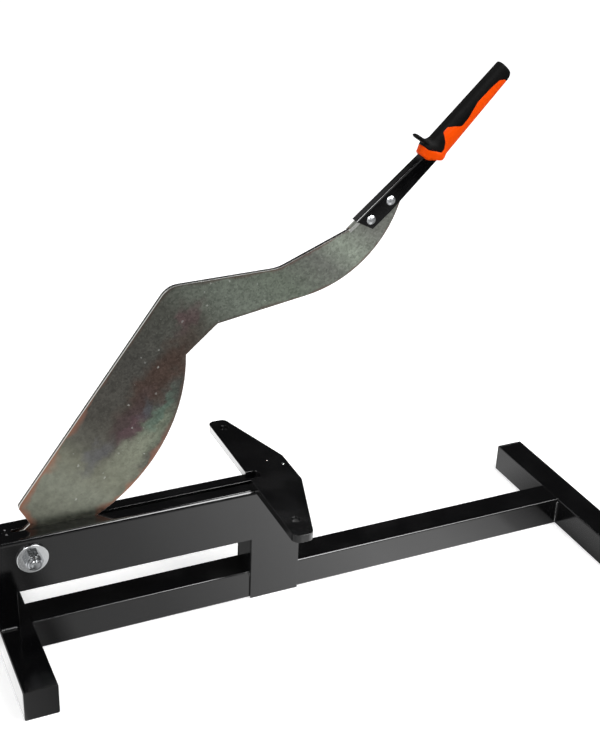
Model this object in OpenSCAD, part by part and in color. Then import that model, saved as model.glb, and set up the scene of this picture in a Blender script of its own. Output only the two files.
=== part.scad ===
// Fibre cement cutter: a bench shear for cement boards and slates.
// A long lever swings a curved blade down through the slot of a welded beam.
// The board lies on the beam with its edge against the fence plate.
// X runs along the beam to the right, Y points away from the operator, Z is up.
// The origin is on the floor, under the middle of the base, in the blade's plane.

/* [Base] */
// Length of the rail between the two feet
rail_len = 744; // [700:1:800]
// Outside size of the square tube of rail and feet
tube_w = 40; // [38:1:44]
// Wall of the square tube
tube_wall = 2.5; // [2:0.5:4]
// Outside corner radius of the square tube
tube_corner = 2; // [1.5:0.5:5]
// Length of each foot
foot_len = 274; // [220:1:320]
// Thickness of the plates that close the feet
cap_t = 3; // [2:0.5:5]

/* [Beam] */
// Height of the beam's top above the floor
beam_top = 160; // [156:1:166]
// Height of the window between beam and base rail
window_h = 50; // [40:1:54]
// Length of the window
window_len = 293; // [288:1:298]
// Width of the left leg
left_leg_w = 24; // [22:1:26]
// Width of the right leg
right_leg_w = 65; // [62:1:70]
// Sheet thickness of the side plates
sheet_t = 3; // [2:0.5:4]
// Outside radius of the folded top edges
fold_r = 5; // [4.5:0.5:7]
// Width of the slot that the blade cuts through
slot_w = 6; // [6:0.5:8]
// Distance from the pivot to the slot's left end
slot_lead = 18; // [17:1:20]
// Wall of the rectangular tubes in the legs
post_wall = 2.5; // [2:0.5:4]
// Distance from the floor to the top of the left post
left_post_top = 95; // [80:1:100]

/* [Fence plate] */
// Thickness of the fence plate
fence_t = 10; // [9:0.5:12]
// Length of the fence plate across the beam
fence_len = 284; // [270:1:300]
// Width of the fence plate at the beam
fence_w = 59.5; // [58:0.5:63]
// Width of the fence plate at its ends
fence_end_w = 24; // [22:1:34]
// Length over which the fence plate keeps its full width
fence_waist = 60; // [50:1:80]
// Corner radius of the fence plate's ends
fence_corner = 9; // [4:1:12]
// Width of the notch that the blade dips into
notch_w = 16; // [14:1:20]
// Depth of the notch from the fence plate's straight edge
notch_depth = 16; // [14:1:19]
// Diameter of the two fastening holes
fence_hole_d = 11; // [8:0.5:13]
// Distance between the two fastening holes
fence_hole_gap = 230; // [200:1:240]
// Distance of the two holes' middle from the blade's plane
fence_hole_shift = 5.5; // [0:0.5:6]

/* [Pivot] */
// Distance from the beam's left end to the pivot
pivot_in = 44; // [42:1:46]
// Height of the pivot above the floor
pivot_z = 134; // [132:1:135]
// Diameter of the pivot bolt
bolt_d = 12; // [12:1:14]
// Diameter of the large washers
washer_d = 37; // [34:1:40]
// Thickness of the large washers
washer_t = 3; // [2:0.5:4]
// Width across the flats of nut and bolt head
hex_af = 19; // [19:1:22]
// Height of the self-locking nut
nut_h = 12; // [11:0.5:14]
// Height of the bolt head
head_h = 7.5; // [6:0.5:9]
// Length of bolt that stands out of the nut
bolt_proud = 2.5; // [1:0.5:6]
// Outside diameter of the bush in the blade
bush_d = 18; // [17:1:20]
// Outside diameter of the spacer tubes
spacer_d = 28; // [22:1:30]
// Outside diameter of the thrust washers
thrust_d = 40; // [34:1:42]
// Thickness of the thrust washers
thrust_t = 2; // [1:0.5:3]

/* [Blade] */
// Thickness of the blade
blade_t = 5; // [4:0.5:5]
// Angle from the closed blade to the open pose shown
open_angle = 41; // [0:1:60]
// Radius of the hub round the pivot
hub_r = 26; // [24:0.5:27]
// Distance from the pivot to the inner corner of the landing edge
land_x = 289.5; // [285:0.5:290]
// Length of the straight edge that lands on the fence plate
land_len = 50.5; // [48:0.5:54]
// Radius of the curved cutting edge
cut_r = 216; // [205:1:230]
// Depth of the cutting edge below the pivot when closed
cut_depth = 40; // [34:1:42]
// Slope of the blade's straight back when closed
back_slope = 12.6; // [11.6:0.1:13.6]
// Distance from the pivot to the line of the straight back
back_offset = 40.5; // [38:0.1:42]
// Distance from the pivot to the heel corner, along the closed blade
heel_x = 31; // [29:1:34]
// Radius of the heel corner
heel_r = 5; // [3:1:8]
// Depth of the neck between the hub and the heel
neck_x = 24.4; // [23:0.2:26]
// Height of the neck above the pivot
neck_y = 21.4; // [20:0.2:23]
// Distance from the pivot to the bend at the end of the straight back
bend_x = 331; // [325:1:335]
// Radius of the bend
bend_r = 26; // [15:1:40]
// Distance from the pivot to the dip behind the bend
dip_x = 434; // [425:1:440]
// Height of the dip above the pivot
dip_y = 30.6; // [24:0.2:32]
// Radius of the dip
dip_r = 45; // [20:1:80]
// Distance from the pivot to where the tongue starts
saddle_x = 523; // [515:1:530]
// Distance from the pivot to the corner of the belly
belly_x = 514; // [505:1:520]
// Depth of the belly's corner below the pivot
belly_y = 69.5; // [65:0.5:72]
// Radius of the belly under the handle arm
belly_r = 145; // [130:1:150]
// Radius of small corners of the blade
nose_r = 2; // [1:0.5:4]

/* [Handle arm] */
// Thickness of the packing plates on each side of the tongue
pack_t = 2.2; // [1.5:0.1:3]
// Length by which the packing plates stand out of the channel
pack_out = 13; // [8:1:16]
// Gap between the tongue and the fold of the channel
tongue_drop = 1.2; // [0.1:0.1:3]
// Sheet thickness of the folded channel
arm_sheet = 2; // [2:0.5:3]
// Depth of the channel at the blade
arm_h = 22.6; // [22:0.1:27]
// Depth of the channel inside the grip
tang_h = 17; // [12:0.5:19]
// Distance from the pivot to the start of the channel
arm_start = 536; // [530:1:540]
// Length of the blade's tongue inside the channel
tongue_len = 64; // [58:1:70]
// Length over which the channel keeps its full depth
arm_straight = 40; // [36:1:66]
// Height of the channel's top above the pivot when closed
arm_top = 4.2; // [2:0.1:5]
// Diameter of the rivet shanks
rivet_d = 6; // [5:0.5:8]
// Diameter of the rivet heads
rivet_head_d = 11.5; // [9:0.5:12]
// Height of the rivet heads
rivet_head_h = 3; // [2:0.5:4]
// Distance between the two rivets
rivet_gap = 32; // [28:1:36]

/* [Grip] */
// Length of the grip
grip_len = 140; // [125:1:150]
// Angle of the grip above the channel
grip_tilt = 5.3; // [3:0.1:8]
// Height of the grip behind the collar
grip_h = 29; // [27:0.5:32]
// Thickness of the grip behind the collar
grip_t = 23; // [21:0.5:26]
// Height of the grip at its far end
grip_end_h = 22; // [20:0.5:26]
// Thickness of the grip at its far end
grip_end_t = 19; // [18:0.5:23]
// Height of the hand guard above the grip
guard_h = 18; // [14:1:26]
// Thickness of the hand guard
guard_t = 5; // [4:0.5:7]
// Height by which the collar rises towards the guard
collar_rise = 4.5; // [2:0.5:6]
// Height of the lip under the collar
lip_h = 1.7; // [0.5:0.1:3]
// Swelling of the sides next to the collar
bolster_t = 2; // [0:0.5:3]
// Radius of the lower edge at the grip's end
heel_round = 8.5; // [4:0.5:9.5]
// Width of the hand guard
guard_w = 18; // [12:1:22]

/* [Fits] */
// Gap on each side of the blade between the thrust washers
side_gap = 0.1; // [0.05:0.05:0.3]
// Radial gap between pivot bolt and bush
run_gap = 0.05; // [0.02:0.01:0.1]
// Radial gap of fixed bolts and rivets in their holes
hole_gap = 0.25; // [0.1:0.05:0.5]
// Gap between the landed blade and the fence plate
land_gap = 0.2; // [0.1:0.05:0.5]
// Gap between the blade's tip and the end of slot and notch
tip_gap = 2; // [1.5:0.5:4]
// Gap between the channel and what it holds or enters
arm_gap = 0.1; // [0.05:0.05:0.3]

/* [Hidden] */

$fn = 64;
eps = 0.01;
far = 1000;

paint_black = "#141416";
zinc_bright = "#c9ccd0";
zinc_yellow = "#6d6e62";
grip_orange = "#ff5a00";
grip_black = "#1c1c1e";

// Beam, worked out from the left end
beam_len = left_leg_w + window_len + right_leg_w;
beam_x0 = -rail_len / 2 - tube_w;
beam_x1 = beam_x0 + beam_len;
window_x0 = beam_x0 + left_leg_w;
window_x1 = window_x0 + window_len;
window_top = tube_w + window_h;
beam_y = tube_w / 2 + sheet_t;
flange_z = beam_top - sheet_t;
pivot_x = beam_x0 + pivot_in;
slot_x0 = pivot_x - slot_lead;
slot_x1 = pivot_x + land_x + tip_gap;
post_notch_h = 40;
post_notch_w = slot_w + 4;
leg_lip = 5;
arm_lip = 3.9;

// Fence plate, placed so that its notch ends with the slot
fence_z = beam_top + fence_t;
fence_x0 = slot_x1 - notch_depth;
fence_x1 = fence_x0 + fence_w;
fence_hole_x = slot_x1;

// Pivot stack, from the blade outwards
thrust_y = blade_t / 2 + side_gap;
spacer_y = thrust_y + thrust_t;
nut_y = beam_y + washer_t;
bolt_end_y = nut_y + nut_h + bolt_proud;
insert_h = 2.5;

// Blade corners in the closed pose, with the pivot at the origin
land_y = fence_z + land_gap - pivot_z;
cut_cx = land_x - sqrt(pow(cut_r, 2) - pow(cut_r - cut_depth - land_y, 2));
cut_cy = cut_r - cut_depth;
function back_line(x) = x * tan(back_slope) + back_offset / cos(back_slope);
tongue_top = arm_top - arm_sheet - tongue_drop;
arm_bottom = arm_top - arm_h;
neck = [neck_x, neck_y];
heel = [heel_x, back_line(heel_x)];
bend = [bend_x, back_line(bend_x)];
dip = [dip_x, dip_y];
saddle = [saddle_x, tongue_top];
tongue = [arm_start + tongue_len, arm_bottom + arm_lip];
belly = [belly_x, -belly_y];

// Channel outline corners in the closed pose
tongue_t = blade_t + 2 * pack_t;
channel_w = tongue_t + 2 * (arm_sheet + arm_gap);
arm_fold_r = arm_sheet + 0.5;
arm_step = arm_start + arm_straight;
collar_x = 644;
rivet_y = arm_bottom + 10.2;
rivet_x = arm_start + 14.5;

// Grip placing: its own axis starts at the collar
grip_at = [collar_x, -5.2];
tang_len = grip_len - 22;
tang_end_h = tang_h - 4;
collar_top = grip_at.y + tang_h / 2;
guard_x = 14.6;
guard_lean = 0.17;

// Rounded corners: points of the fillet of radius r at corner b, between a and c
function unit(v) = v / norm(v);
function turn(a) = a > 180 ? a - 360 : a < -180 ? a + 360 : a;
function corner(a, b, c, r) =
  let (
    u = unit(a - b),
    v = unit(c - b),
    half = acos(u * v) / 2,
    centre = b + unit(u + v) * r / sin(half),
    p = b + u * r / tan(half) - centre,
    q = b + v * r / tan(half) - centre,
    start = atan2(p.y, p.x),
    sweep = turn(atan2(q.y, q.x) - start),
    steps = max(3, ceil(abs(sweep) / 4))
  )
  [for (i = [0 : steps]) centre + r * [cos(start + sweep * i / steps), sin(start + sweep * i / steps)]];
// Outline through corners [x, y, r], each rounded with its own radius
function rounded(pts) =
  let (n = len(pts))
  [for (i = [0 : n - 1])
    let (
      a = pts[(i + n - 1) % n],
      b = pts[i],
      c = pts[(i + 1) % n]
    )
    each b.z == 0 ? [[b.x, b.y]] : corner([a.x, a.y], [b.x, b.y], [c.x, c.y], b.z)];

// Rectangle with round corners, centred
module round_rect(w, h, r) {
  square([w - 2 * r, h], center = true);
  square([w, h - 2 * r], center = true);
  for (sx = [-1, 1], sy = [-1, 1])
    translate([sx * (w / 2 - r), sy * (h / 2 - r)]) circle(r);
}

// Section of a drawn tube
module tube_section(w, h, wall, r) {
  difference() {
    round_rect(w, h, r);
    round_rect(w - 2 * wall, h - 2 * wall, max(r - wall, 0.5));
  }
}

// Hexagon with chamfered corners on one end, bored or solid, from z = 0 up
module hex_body(af, h) {
  intersection() {
    cylinder(h = h, d = af / cos(30), $fn = 6);
    rotate_extrude()
      polygon([[0, 0], [af / cos(30) / 2 + eps, 0], [af / cos(30) / 2 + eps, h - 1.2],
        [af / 2 - 0.4, h], [0, h]]);
  }
}

// Turns a part that is drawn along +Z so that it points to -Y or +Y
module to_front() { rotate([90, 0, 0]) children(); }
module to_back() { rotate([-90, 0, 0]) children(); }
module at_pivot() { translate([pivot_x, 0, pivot_z]) children(); }
// Lever pieces are drawn closed, round the pivot, and swung open here
module lever() { at_pivot() rotate([0, -open_angle, 0]) children(); }
// Thickens an outline that is drawn as seen from the front
module slab(t) { rotate([90, 0, 0]) linear_extrude(t, center = true) children(); }

// Fillet weld: a quarter round bead of leg r along z, in the corner of +x and +y
module bead(len, r) {
  intersection() {
    cylinder(h = len, r = r, $fn = 32);
    cube([r + 1, r + 1, len]);
  }
}

module base_rail() {
  color(paint_black)
    translate([0, 0, tube_w / 2])
      rotate([90, 0, 90])
        linear_extrude(rail_len, center = true)
          tube_section(tube_w, tube_w, tube_wall, tube_corner);
}

module foot(side) {
  color(paint_black)
    translate([side * (rail_len + tube_w) / 2, 0, tube_w / 2])
      rotate([90, 0, 0])
        linear_extrude(foot_len - 2 * cap_t, center = true)
          tube_section(tube_w, tube_w, tube_wall, tube_corner);
}
module left_foot() { foot(-1); }
module right_foot() { foot(1); }

module foot_end_caps() {
  color(paint_black)
    for (sx = [-1, 1], sy = [-1, 1])
      translate([sx * (rail_len + tube_w) / 2, sy * (foot_len - cap_t) / 2, tube_w / 2])
        rotate([90, 0, 0])
          linear_extrude(cap_t, center = true)
            round_rect(tube_w, tube_w, tube_corner);
}

// Side plate section: a leg plate with its top folded in over the beam
module side_section() {
  difference() {
    union() {
      translate([-beam_y, 0]) square([beam_y, beam_top - fold_r]);
      translate([fold_r - beam_y, 0]) square([beam_y - fold_r, beam_top]);
      translate([fold_r - beam_y, beam_top - fold_r]) circle(fold_r);
    }
    translate([sheet_t - beam_y, -1]) square([beam_y, beam_top - fold_r + 1]);
    translate([fold_r - beam_y, -1]) square([beam_y, flange_z + 1]);
    translate([fold_r - beam_y, beam_top - fold_r]) circle(fold_r - sheet_t);
  }
}

// Section of the space inside the folded plates, from height z up
module inside_section(z) {
  r = fold_r - sheet_t + 0.3;
  translate([-tube_w / 2, z]) square([tube_w, flange_z - r - z]);
  translate([r - tube_w / 2, z]) square([tube_w - 2 * r, flange_z - z]);
  for (sx = [-1, 1])
    translate([sx * (tube_w / 2 - r), flange_z - r]) circle(r);
}

module side_plate() {
  difference() {
    translate([beam_x0, 0, 0])
      rotate([90, 0, 90])
        linear_extrude(beam_len)
          side_section();
    translate([window_x0, -far / 2, -1])
      cube([window_len, far, window_top + 1]);
    translate([beam_x0 - 1, -far / 2, -1])
      cube([left_leg_w + 2, far, tube_w + 1]);
    translate([0, 0, flange_z - 1])
      linear_extrude(sheet_t + 2)
        slot_outline();
    at_pivot()
      rotate([90, 0, 0])
        cylinder(h = far, d = bolt_d + 2 * hole_gap, center = true);
  }
}

// Slot through the beam's top, round at its left end
module slot_outline() {
  translate([slot_x0 + slot_w / 2, 0]) circle(d = slot_w);
  translate([slot_x0 + slot_w / 2, -slot_w / 2])
    square([slot_x1 - slot_x0 - slot_w / 2, slot_w]);
}

module front_side_plate() { color(paint_black) side_plate(); }
module back_side_plate() { color(paint_black) mirror([0, 1, 0]) side_plate(); }

module left_post() {
  w = left_leg_w - sheet_t - 1;
  color(paint_black)
    translate([beam_x0 + sheet_t + w / 2, 0, tube_w])
      linear_extrude(left_post_top - tube_w)
        tube_section(w, tube_w, post_wall, tube_corner);
}

// The right post is notched where the blade's tip dips behind its wall
module right_post() {
  w = right_leg_w - leg_lip;
  color(paint_black)
    difference() {
      intersection() {
        translate([window_x1 + w / 2, 0, tube_w])
          linear_extrude(flange_z - tube_w)
            tube_section(w, tube_w, post_wall, tube_corner);
        translate([window_x1 - 1, 0, 0])
          rotate([90, 0, 90]) linear_extrude(w + 2) inside_section(tube_w - 1);
      }
      translate([window_x1 - 1, -post_notch_w / 2, flange_z - post_notch_h])
        cube([post_wall + 2, post_notch_w, post_notch_h + 1]);
    }
}

module beam_end_plate() {
  color(paint_black)
    translate([beam_x0, 0, 0])
      rotate([90, 0, 90]) linear_extrude(sheet_t) inside_section(tube_w);
}

module fence_outline() {
  polygon(rounded([
    [fence_x0, -fence_len / 2, fence_corner],
    [fence_x0 + fence_end_w, -fence_len / 2, fence_corner],
    [fence_x1, -fence_waist / 2, 8],
    [fence_x1, fence_waist / 2, 8],
    [fence_x0 + fence_end_w, fence_len / 2, fence_corner],
    [fence_x0, fence_len / 2, fence_corner]
  ]));
}

module fence_plate() {
  color(paint_black)
    translate([0, 0, beam_top])
      difference() {
        linear_extrude(fence_t) fence_outline();
        translate([slot_x1 - notch_w / 2, 0, -1])
          cylinder(h = fence_t + 2, d = notch_w);
        translate([fence_x0 - 1, -notch_w / 2, -1])
          cube([slot_x1 - notch_w / 2 - fence_x0 + 1, notch_w, fence_t + 2]);
        for (sy = [-1, 1])
          translate([fence_hole_x, fence_hole_shift + sy * fence_hole_gap / 2, -1])
            cylinder(h = fence_t + 2, d = fence_hole_d);
      }
}

// Mirrors a bead into the corner that it fills
module flip(sx, sy) {
  mirror([sx < 0 ? 1 : 0, 0, 0]) mirror([0, sy < 0 ? 1 : 0, 0]) children();
}

module weld_beads() {
  r = 3;
  color(paint_black) {
    // legs on the left foot
    for (sy = [-1, 1])
      translate([beam_x0 + 2, sy * beam_y, tube_w])
        flip(1, sy) rotate([90, 0, 90]) bead(left_leg_w - 4, r);
    // rail sides on both feet
    for (sx = [-1, 1], sy = [-1, 1])
      translate([sx * rail_len / 2, sy * tube_w / 2, tube_corner + 1])
        flip(-sx, sy) bead(tube_w - 2 * tube_corner - 2, r);
    // tacks between the right legs and the rail's sides
    for (sy = [-1, 1])
      translate([window_x1, sy * tube_w / 2, tube_w - tube_corner - 2])
        flip(-1, sy) tack(2);
    // spots at the closed end of the slot
    for (sy = [-1, 1])
      translate([slot_x0 - 6, sy * 5, beam_top]) dome(3, 0.8);
  }
}

// Small tack weld in an upright corner
module tack(r) {
  intersection() {
    sphere(r);
    translate([0, 0, -r]) cube([r + 1, r + 1, 2 * r]);
  }
}

// Low dome, w across and h high
module dome(w, h) {
  ball_r = (w * w / 4 + h * h) / (2 * h);
  rotate_extrude()
    intersection() {
      translate([0, h - ball_r]) circle(ball_r);
      square([w / 2, h]);
    }
}

module pivot_bolt() {
  color(zinc_bright)
    at_pivot() {
      to_back() translate([0, 0, nut_y]) hex_body(hex_af, head_h);
      to_front()
        translate([0, 0, -nut_y])
          cylinder(h = nut_y + bolt_end_y, d = bolt_d);
    }
}

module large_washer() {
  difference() {
    cylinder(h = washer_t, d = washer_d);
    translate([0, 0, -1]) cylinder(h = washer_t + 2, d = bolt_d + 2 * hole_gap);
  }
}
module head_washer() {
  color(zinc_bright) at_pivot() to_back() translate([0, 0, beam_y]) large_washer();
}
module nut_washer() {
  color(zinc_bright) at_pivot() to_front() translate([0, 0, beam_y]) large_washer();
}

// Self-locking nut: a hexagon with a rolled collar round the nylon ring
module pivot_nut() {
  hex_h = nut_h - insert_h - 1;
  color(zinc_bright)
    at_pivot() to_front() translate([0, 0, nut_y])
      difference() {
        union() {
          hex_body(hex_af, hex_h);
          translate([0, 0, hex_h - eps])
            rotate_extrude()
              polygon([[0, 0], [hex_af / 2 - 0.8, 0], [hex_af / 2 - 1, insert_h],
                [hex_af / 2 - 2.4, insert_h + 1 + eps], [0, insert_h + 1 + eps]]);
        }
        translate([0, 0, -1]) cylinder(h = nut_h + 2, d = bolt_d + 2 * run_gap);
        translate([0, 0, hex_h]) cylinder(h = insert_h, d = bolt_d + 3);
      }
}

module nut_insert() {
  color("#3c6ea8")
    at_pivot() to_front() translate([0, 0, nut_y + nut_h - insert_h - 1])
      difference() {
        cylinder(h = insert_h, d = bolt_d + 3);
        translate([0, 0, -1]) cylinder(h = insert_h + 2, d = bolt_d + 2 * run_gap);
      }
}

module spacer() {
  translate([0, 0, spacer_y])
    difference() {
      cylinder(h = tube_w / 2 - spacer_y, d = spacer_d);
      translate([0, 0, -1]) cylinder(h = tube_w, d = bolt_d + 2 * hole_gap);
    }
}
module front_spacer() { color(zinc_bright) at_pivot() to_front() spacer(); }
module back_spacer() { color(zinc_bright) at_pivot() to_back() spacer(); }

module thrust_washer() {
  translate([0, 0, thrust_y])
    difference() {
      cylinder(h = thrust_t, d = thrust_d);
      translate([0, 0, -1]) cylinder(h = thrust_t + 2, d = bolt_d + 2 * hole_gap);
    }
}
module front_thrust_washer() { color("#b08d57") at_pivot() to_front() thrust_washer(); }
module back_thrust_washer() { color("#b08d57") at_pivot() to_back() thrust_washer(); }

module pivot_bush() {
  color("#b08d57")
    at_pivot() to_front()
      difference() {
        cylinder(h = blade_t, d = bush_d, center = true);
        cylinder(h = blade_t + 2, d = bolt_d + 2 * run_gap, center = true);
      }
}

// Blade outline when closed: hub, landing edge, belly, tongue, saddle, dip, bend, back, neck
module blade_outline() {
  difference() {
    union() {
      circle(hub_r);
      polygon(rounded([
        [-hub_r / 4, -hub_r / 6, 0],
        [neck.x, -hub_r / 6, 0],
        [land_x * 0.9, land_y, 0],
        [land_x + land_len, land_y, nose_r],
        [belly.x, belly.y, belly_r],
        [tongue.x, tongue.y, nose_r],
        [tongue.x, tongue_top, nose_r],
        [saddle.x, saddle.y, 12],
        [dip.x, dip.y, dip_r],
        [bend.x, bend.y, bend_r],
        [heel.x, heel.y, heel_r],
        [neck.x, neck.y, nose_r],
        [-hub_r / 4, neck.y, 0]
      ]));
      cutting_segment();
    }
    circle(d = bush_d);
    for (i = [0, 1])
      translate([rivet_x + i * rivet_gap, rivet_y]) circle(d = rivet_d);
  }
}

// Area between the hub, the body and the curved cutting edge
module cutting_segment() {
  intersection() {
    translate([cut_cx, cut_cy]) circle(cut_r, $fn = 180);
    polygon([[hub_r / 3, hub_r / 3], [hub_r / 3, -hub_r], [land_x / 2, -cut_r],
      [land_x + land_len / 2, -cut_r], [land_x + land_len / 2, land_y * 1.2],
      [land_x * 0.8, land_y * 1.9]]);
  }
}

// Outline of the packing plates: a narrow nose before the channel, then the tongue
module packing_outline() {
  difference() {
    polygon([
      [arm_start - pack_out, tongue_top - 3],
      [arm_start + 4, tongue_top - 3],
      [arm_start + 12, tongue.y + 1],
      [tongue.x - 4, tongue.y + 1],
      [tongue.x - 4, tongue_top],
      [arm_start - pack_out, tongue_top]
    ]);
    for (i = [0, 1])
      translate([rivet_x + i * rivet_gap, rivet_y]) circle(d = rivet_d);
  }
}

module blade() {
  color(zinc_yellow) lever() {
    slab(blade_t) blade_outline();
    slab(tongue_t) packing_outline();
  }
}

// Channel outline when closed: straight over the blade, tapered to the grip, tilted in it
module arm_outline(wall) {
  dir = [cos(grip_tilt), sin(grip_tilt)];
  side = [-sin(grip_tilt), cos(grip_tilt)];
  tail = grip_at + dir * tang_len;
  polygon([
    [arm_start + 9, arm_bottom],
    [arm_step, arm_bottom],
    grip_at + dir * 8 - side * tang_h / 2,
    tail - side * tang_end_h / 2,
    tail + side * (tang_end_h / 2 - wall),
    [collar_x, collar_top - wall],
    [collar_x - 20, arm_top - wall],
    [arm_start, arm_top - wall]
  ]);
}

module handle_arm() {
  color(paint_black) lever()
    difference() {
      slab(channel_w) arm_outline(0);
      // inside of the channel, open downwards and at its ends
      slab(tongue_t + 2 * arm_gap)
        union() {
          arm_outline(arm_sheet);
          translate([0, -far / 10]) arm_outline(arm_sheet);
          translate([-20, 0]) intersection() {
            arm_outline(arm_sheet);
            translate([arm_start, arm_bottom]) square([40, arm_h - arm_sheet]);
          }
        }
      // folded top edges
      for (sy = [-1, 1])
        translate([arm_start - 1, sy * channel_w / 2, arm_top])
          flip(1, -sy) rotate([90, 0, 90]) fold_waste(arm_fold_r, collar_x - arm_start + 1);
      for (i = [0, 1])
        translate([rivet_x + i * rivet_gap, 0, rivet_y])
          rotate([90, 0, 0]) cylinder(h = far, d = rivet_d, center = true);
    }
}

// What a fold of radius r takes off a square edge
module fold_waste(r, len) {
  linear_extrude(len)
    difference() {
      translate([-1, -r]) square([r + 1, r + 1]);
      translate([r, -r]) circle(r);
    }
}

module rivet() {
  cylinder(h = channel_w, d = rivet_d, center = true);
  for (s = [0, 180])
    rotate([s, 0, 0])
      translate([0, 0, channel_w / 2]) dome(rivet_head_d, rivet_head_h);
}

module arm_rivets() {
  color(zinc_bright) lever()
    for (i = [0, 1])
      translate([rivet_x + i * rivet_gap, 0, rivet_y])
        rotate([90, 0, 0]) rivet();
}

// Grip body: a loft of rounded sections along its own axis, x = 0 at the collar
function mix(a, b, t) = a + (b - a) * min(1, max(0, t));
// Soft swelling of height 1 at a place, fading out before and after it
function swell(x, at, before, after) =
  let (t = (x - at) / (x < at ? before : after))
  abs(t) < 1 ? (1 + cos(180 * t)) / 2 : 0;
// How far a rounding of radius r pulls the skin in, d before the end
function inset(d, r) = d < r ? r - sqrt(max(0, r * r - (r - d) * (r - d))) : 0;
function grip_top(x) = mix(grip_h, grip_end_h, x / grip_len) / 2
  + collar_rise * swell(x, 13, 13, 10) - inset(x, 2) - inset(grip_len - x, 1.5);
function grip_bottom(x) = mix(grip_h, grip_end_h, x / grip_len) / 2
  + lip_h * swell(x, 16.5, 12, 6) - inset(grip_len - x, heel_round);
function grip_side(x) = mix(grip_t, grip_end_t, x / grip_len) / 2
  + bolster_t * swell(x, 12, 14, 14) - inset(x, 1.5) - inset(grip_len - x, 3);
// Power of a sine or cosine that turns an ellipse into a squarer oval
function squarer(c) = (c < 0 ? -1 : 1) * pow(abs(c), 2 / 2.6);
ring_n = 36;
// Oval ring with half width w and half heights up and down, as [side, height] pairs
function oval(w, up, down) = [for (i = [0 : ring_n - 1])
  let (a = 360 * i / ring_n, h = squarer(sin(a)))
  [w * squarer(cos(a)), h * (h > 0 ? up : down)]];
grip_stations = concat(
  [0, 0.4, 1, 2, 3.5, 5.5, 8, 10.5, 13, 15, 17, 19, 21, 23, 26, 30],
  [for (x = [40 : 14 : grip_len - 14]) x],
  [for (d = [heel_round, 6, 4, 3, 2, 1.2, 0.6, 0.2, 0]) grip_len - d]);
grip_rings = [for (x = grip_stations)
  [for (p = oval(grip_side(x), grip_top(x), grip_bottom(x))) [x, p.x, p.y]]];

// Hand guard: an oval fin that leans over the arm, from inside the grip to its round tip
guard_foot = grip_h / 2 - 3;
guard_top = grip_h / 2 + guard_h;
guard_stations = concat([guard_foot, grip_h / 2], [for (h = [3, 6, 10, 14]) grip_h / 2 + h],
  [for (d = [2.6, 1.6, 0.9, 0.4, 0.1, 0]) guard_top - d]);
guard_rings = [for (z = guard_stations)
  let (
    up = z - grip_h / 2,
    pull = inset(guard_top - z, guard_t / 2 + 0.1)
  )
  [for (p = oval(guard_w / 2 - pull - max(0, up) / 9, guard_t / 2 - pull + swell(up, 0, 4, 5),
      guard_t / 2 - pull + 2 * swell(up, 0, 4, 5)))
    [guard_x - guard_lean * up + p.y * -1, p.x, z]]];

// Closed skin over a list of rings of equal count
module loft(rings) {
  n = len(rings);
  m = len(rings[0]);
  middle = [for (r = [rings[0], rings[n - 1]]) [for (k = [0 : 2]) sum(r, k) / m]];
  faces = concat(
    [for (s = [0 : n - 2], i = [0 : m - 1])
      let (a = s * m + i, b = s * m + (i + 1) % m)
      each [[a, a + m, b + m], [a, b + m, b]]],
    [for (i = [0 : m - 1]) [n * m, i, (i + 1) % m]],
    [for (i = [0 : m - 1])
      let (k = (n - 1) * m)
      [n * m + 1, k + (i + 1) % m, k + i]]
  );
  polyhedron(concat([for (r = rings) each r], middle), faces);
}
function sum(v, k, i = 0) = i == len(v) ? 0 : v[i][k] + sum(v, k, i + 1);

// Grip pieces are drawn along +X from the collar and tilted onto the channel
module on_grip() {
  lever() translate([grip_at.x, 0, grip_at.y]) rotate([0, -grip_tilt, 0]) children();
}

// Side view of the orange part: collar, lobe on the side and underside strip
module orange_outline() {
  end = grip_len - 12;
  polygon(rounded([
    [-20, -40, 0],
    [end + 4, -40, 0],
    [end + 0.5, -4.5, 2],
    [end - 5, 0.6, 4],
    [110, 2.6, 8],
    [88, 3.8, 12],
    [68, -0.8, 12],
    [56, -1.2, 5],
    [49, 6.5, 4],
    [43.5, 11, 3],
    [36, 11.2, 3],
    [29, 1.5, 4],
    [23, -3, 2],
    [17.8, -2.8, 1],
    [12.8, 6.4, 3],
    [9, 12.5, 2],
    [8.6, 30, 0],
    [-20, 30, 0]
  ]));
}

// What the slanting front of the collar leaves off
module front_waste() {
  polygon([[-20, -40], [31, -40], [7.5, -4.5], [0, 5], [-0.01, 30], [-20, 30]]);
}

// Room for the channel inside the grip, a little deeper at the mouth
module tang_room() {
  h = tang_h / 2 + arm_gap;
  e = tang_end_h / 2 + arm_gap;
  slab(channel_w + 2 * arm_gap)
    polygon([[-20, -h - 1.4], [8, -h], [tang_len + arm_gap, -e],
      [tang_len + arm_gap, e], [1, h + arm_gap], [-20, h + arm_gap]]);
}

module grip_body() {
  difference() {
    loft(grip_rings);
    slab(2 * grip_t) front_waste();
    tang_room();
  }
}

module grip_core() {
  color(grip_orange) on_grip()
    intersection() {
      grip_body();
      slab(2 * grip_t) orange_outline();
    }
}

module grip_cover() {
  color(grip_black) on_grip()
    difference() {
      union() {
        grip_body();
        loft(guard_rings);
      }
      slab(2 * grip_t) orange_outline();
      tang_room();
    }
}

base_rail();
left_foot();
right_foot();
foot_end_caps();
front_side_plate();
back_side_plate();
left_post();
right_post();
beam_end_plate();
fence_plate();
weld_beads();
pivot_bolt();
head_washer();
nut_washer();
pivot_nut();
nut_insert();
front_spacer();
back_spacer();
front_thrust_washer();
back_thrust_washer();
pivot_bush();
blade();
handle_arm();
arm_rivets();
grip_core();
grip_cover();
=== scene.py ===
"""Looks of the fibre cement cutter: a bench shear with a long lever and a curved blade.

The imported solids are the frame. Each sub-assembly takes its nodes' shapes, softens
their edges, adds what paint, plating and welding leave on them, and dresses them.
Lengths in the classes are in millimetres where a name ends in _mm, and metres elsewhere.
"""

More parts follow.
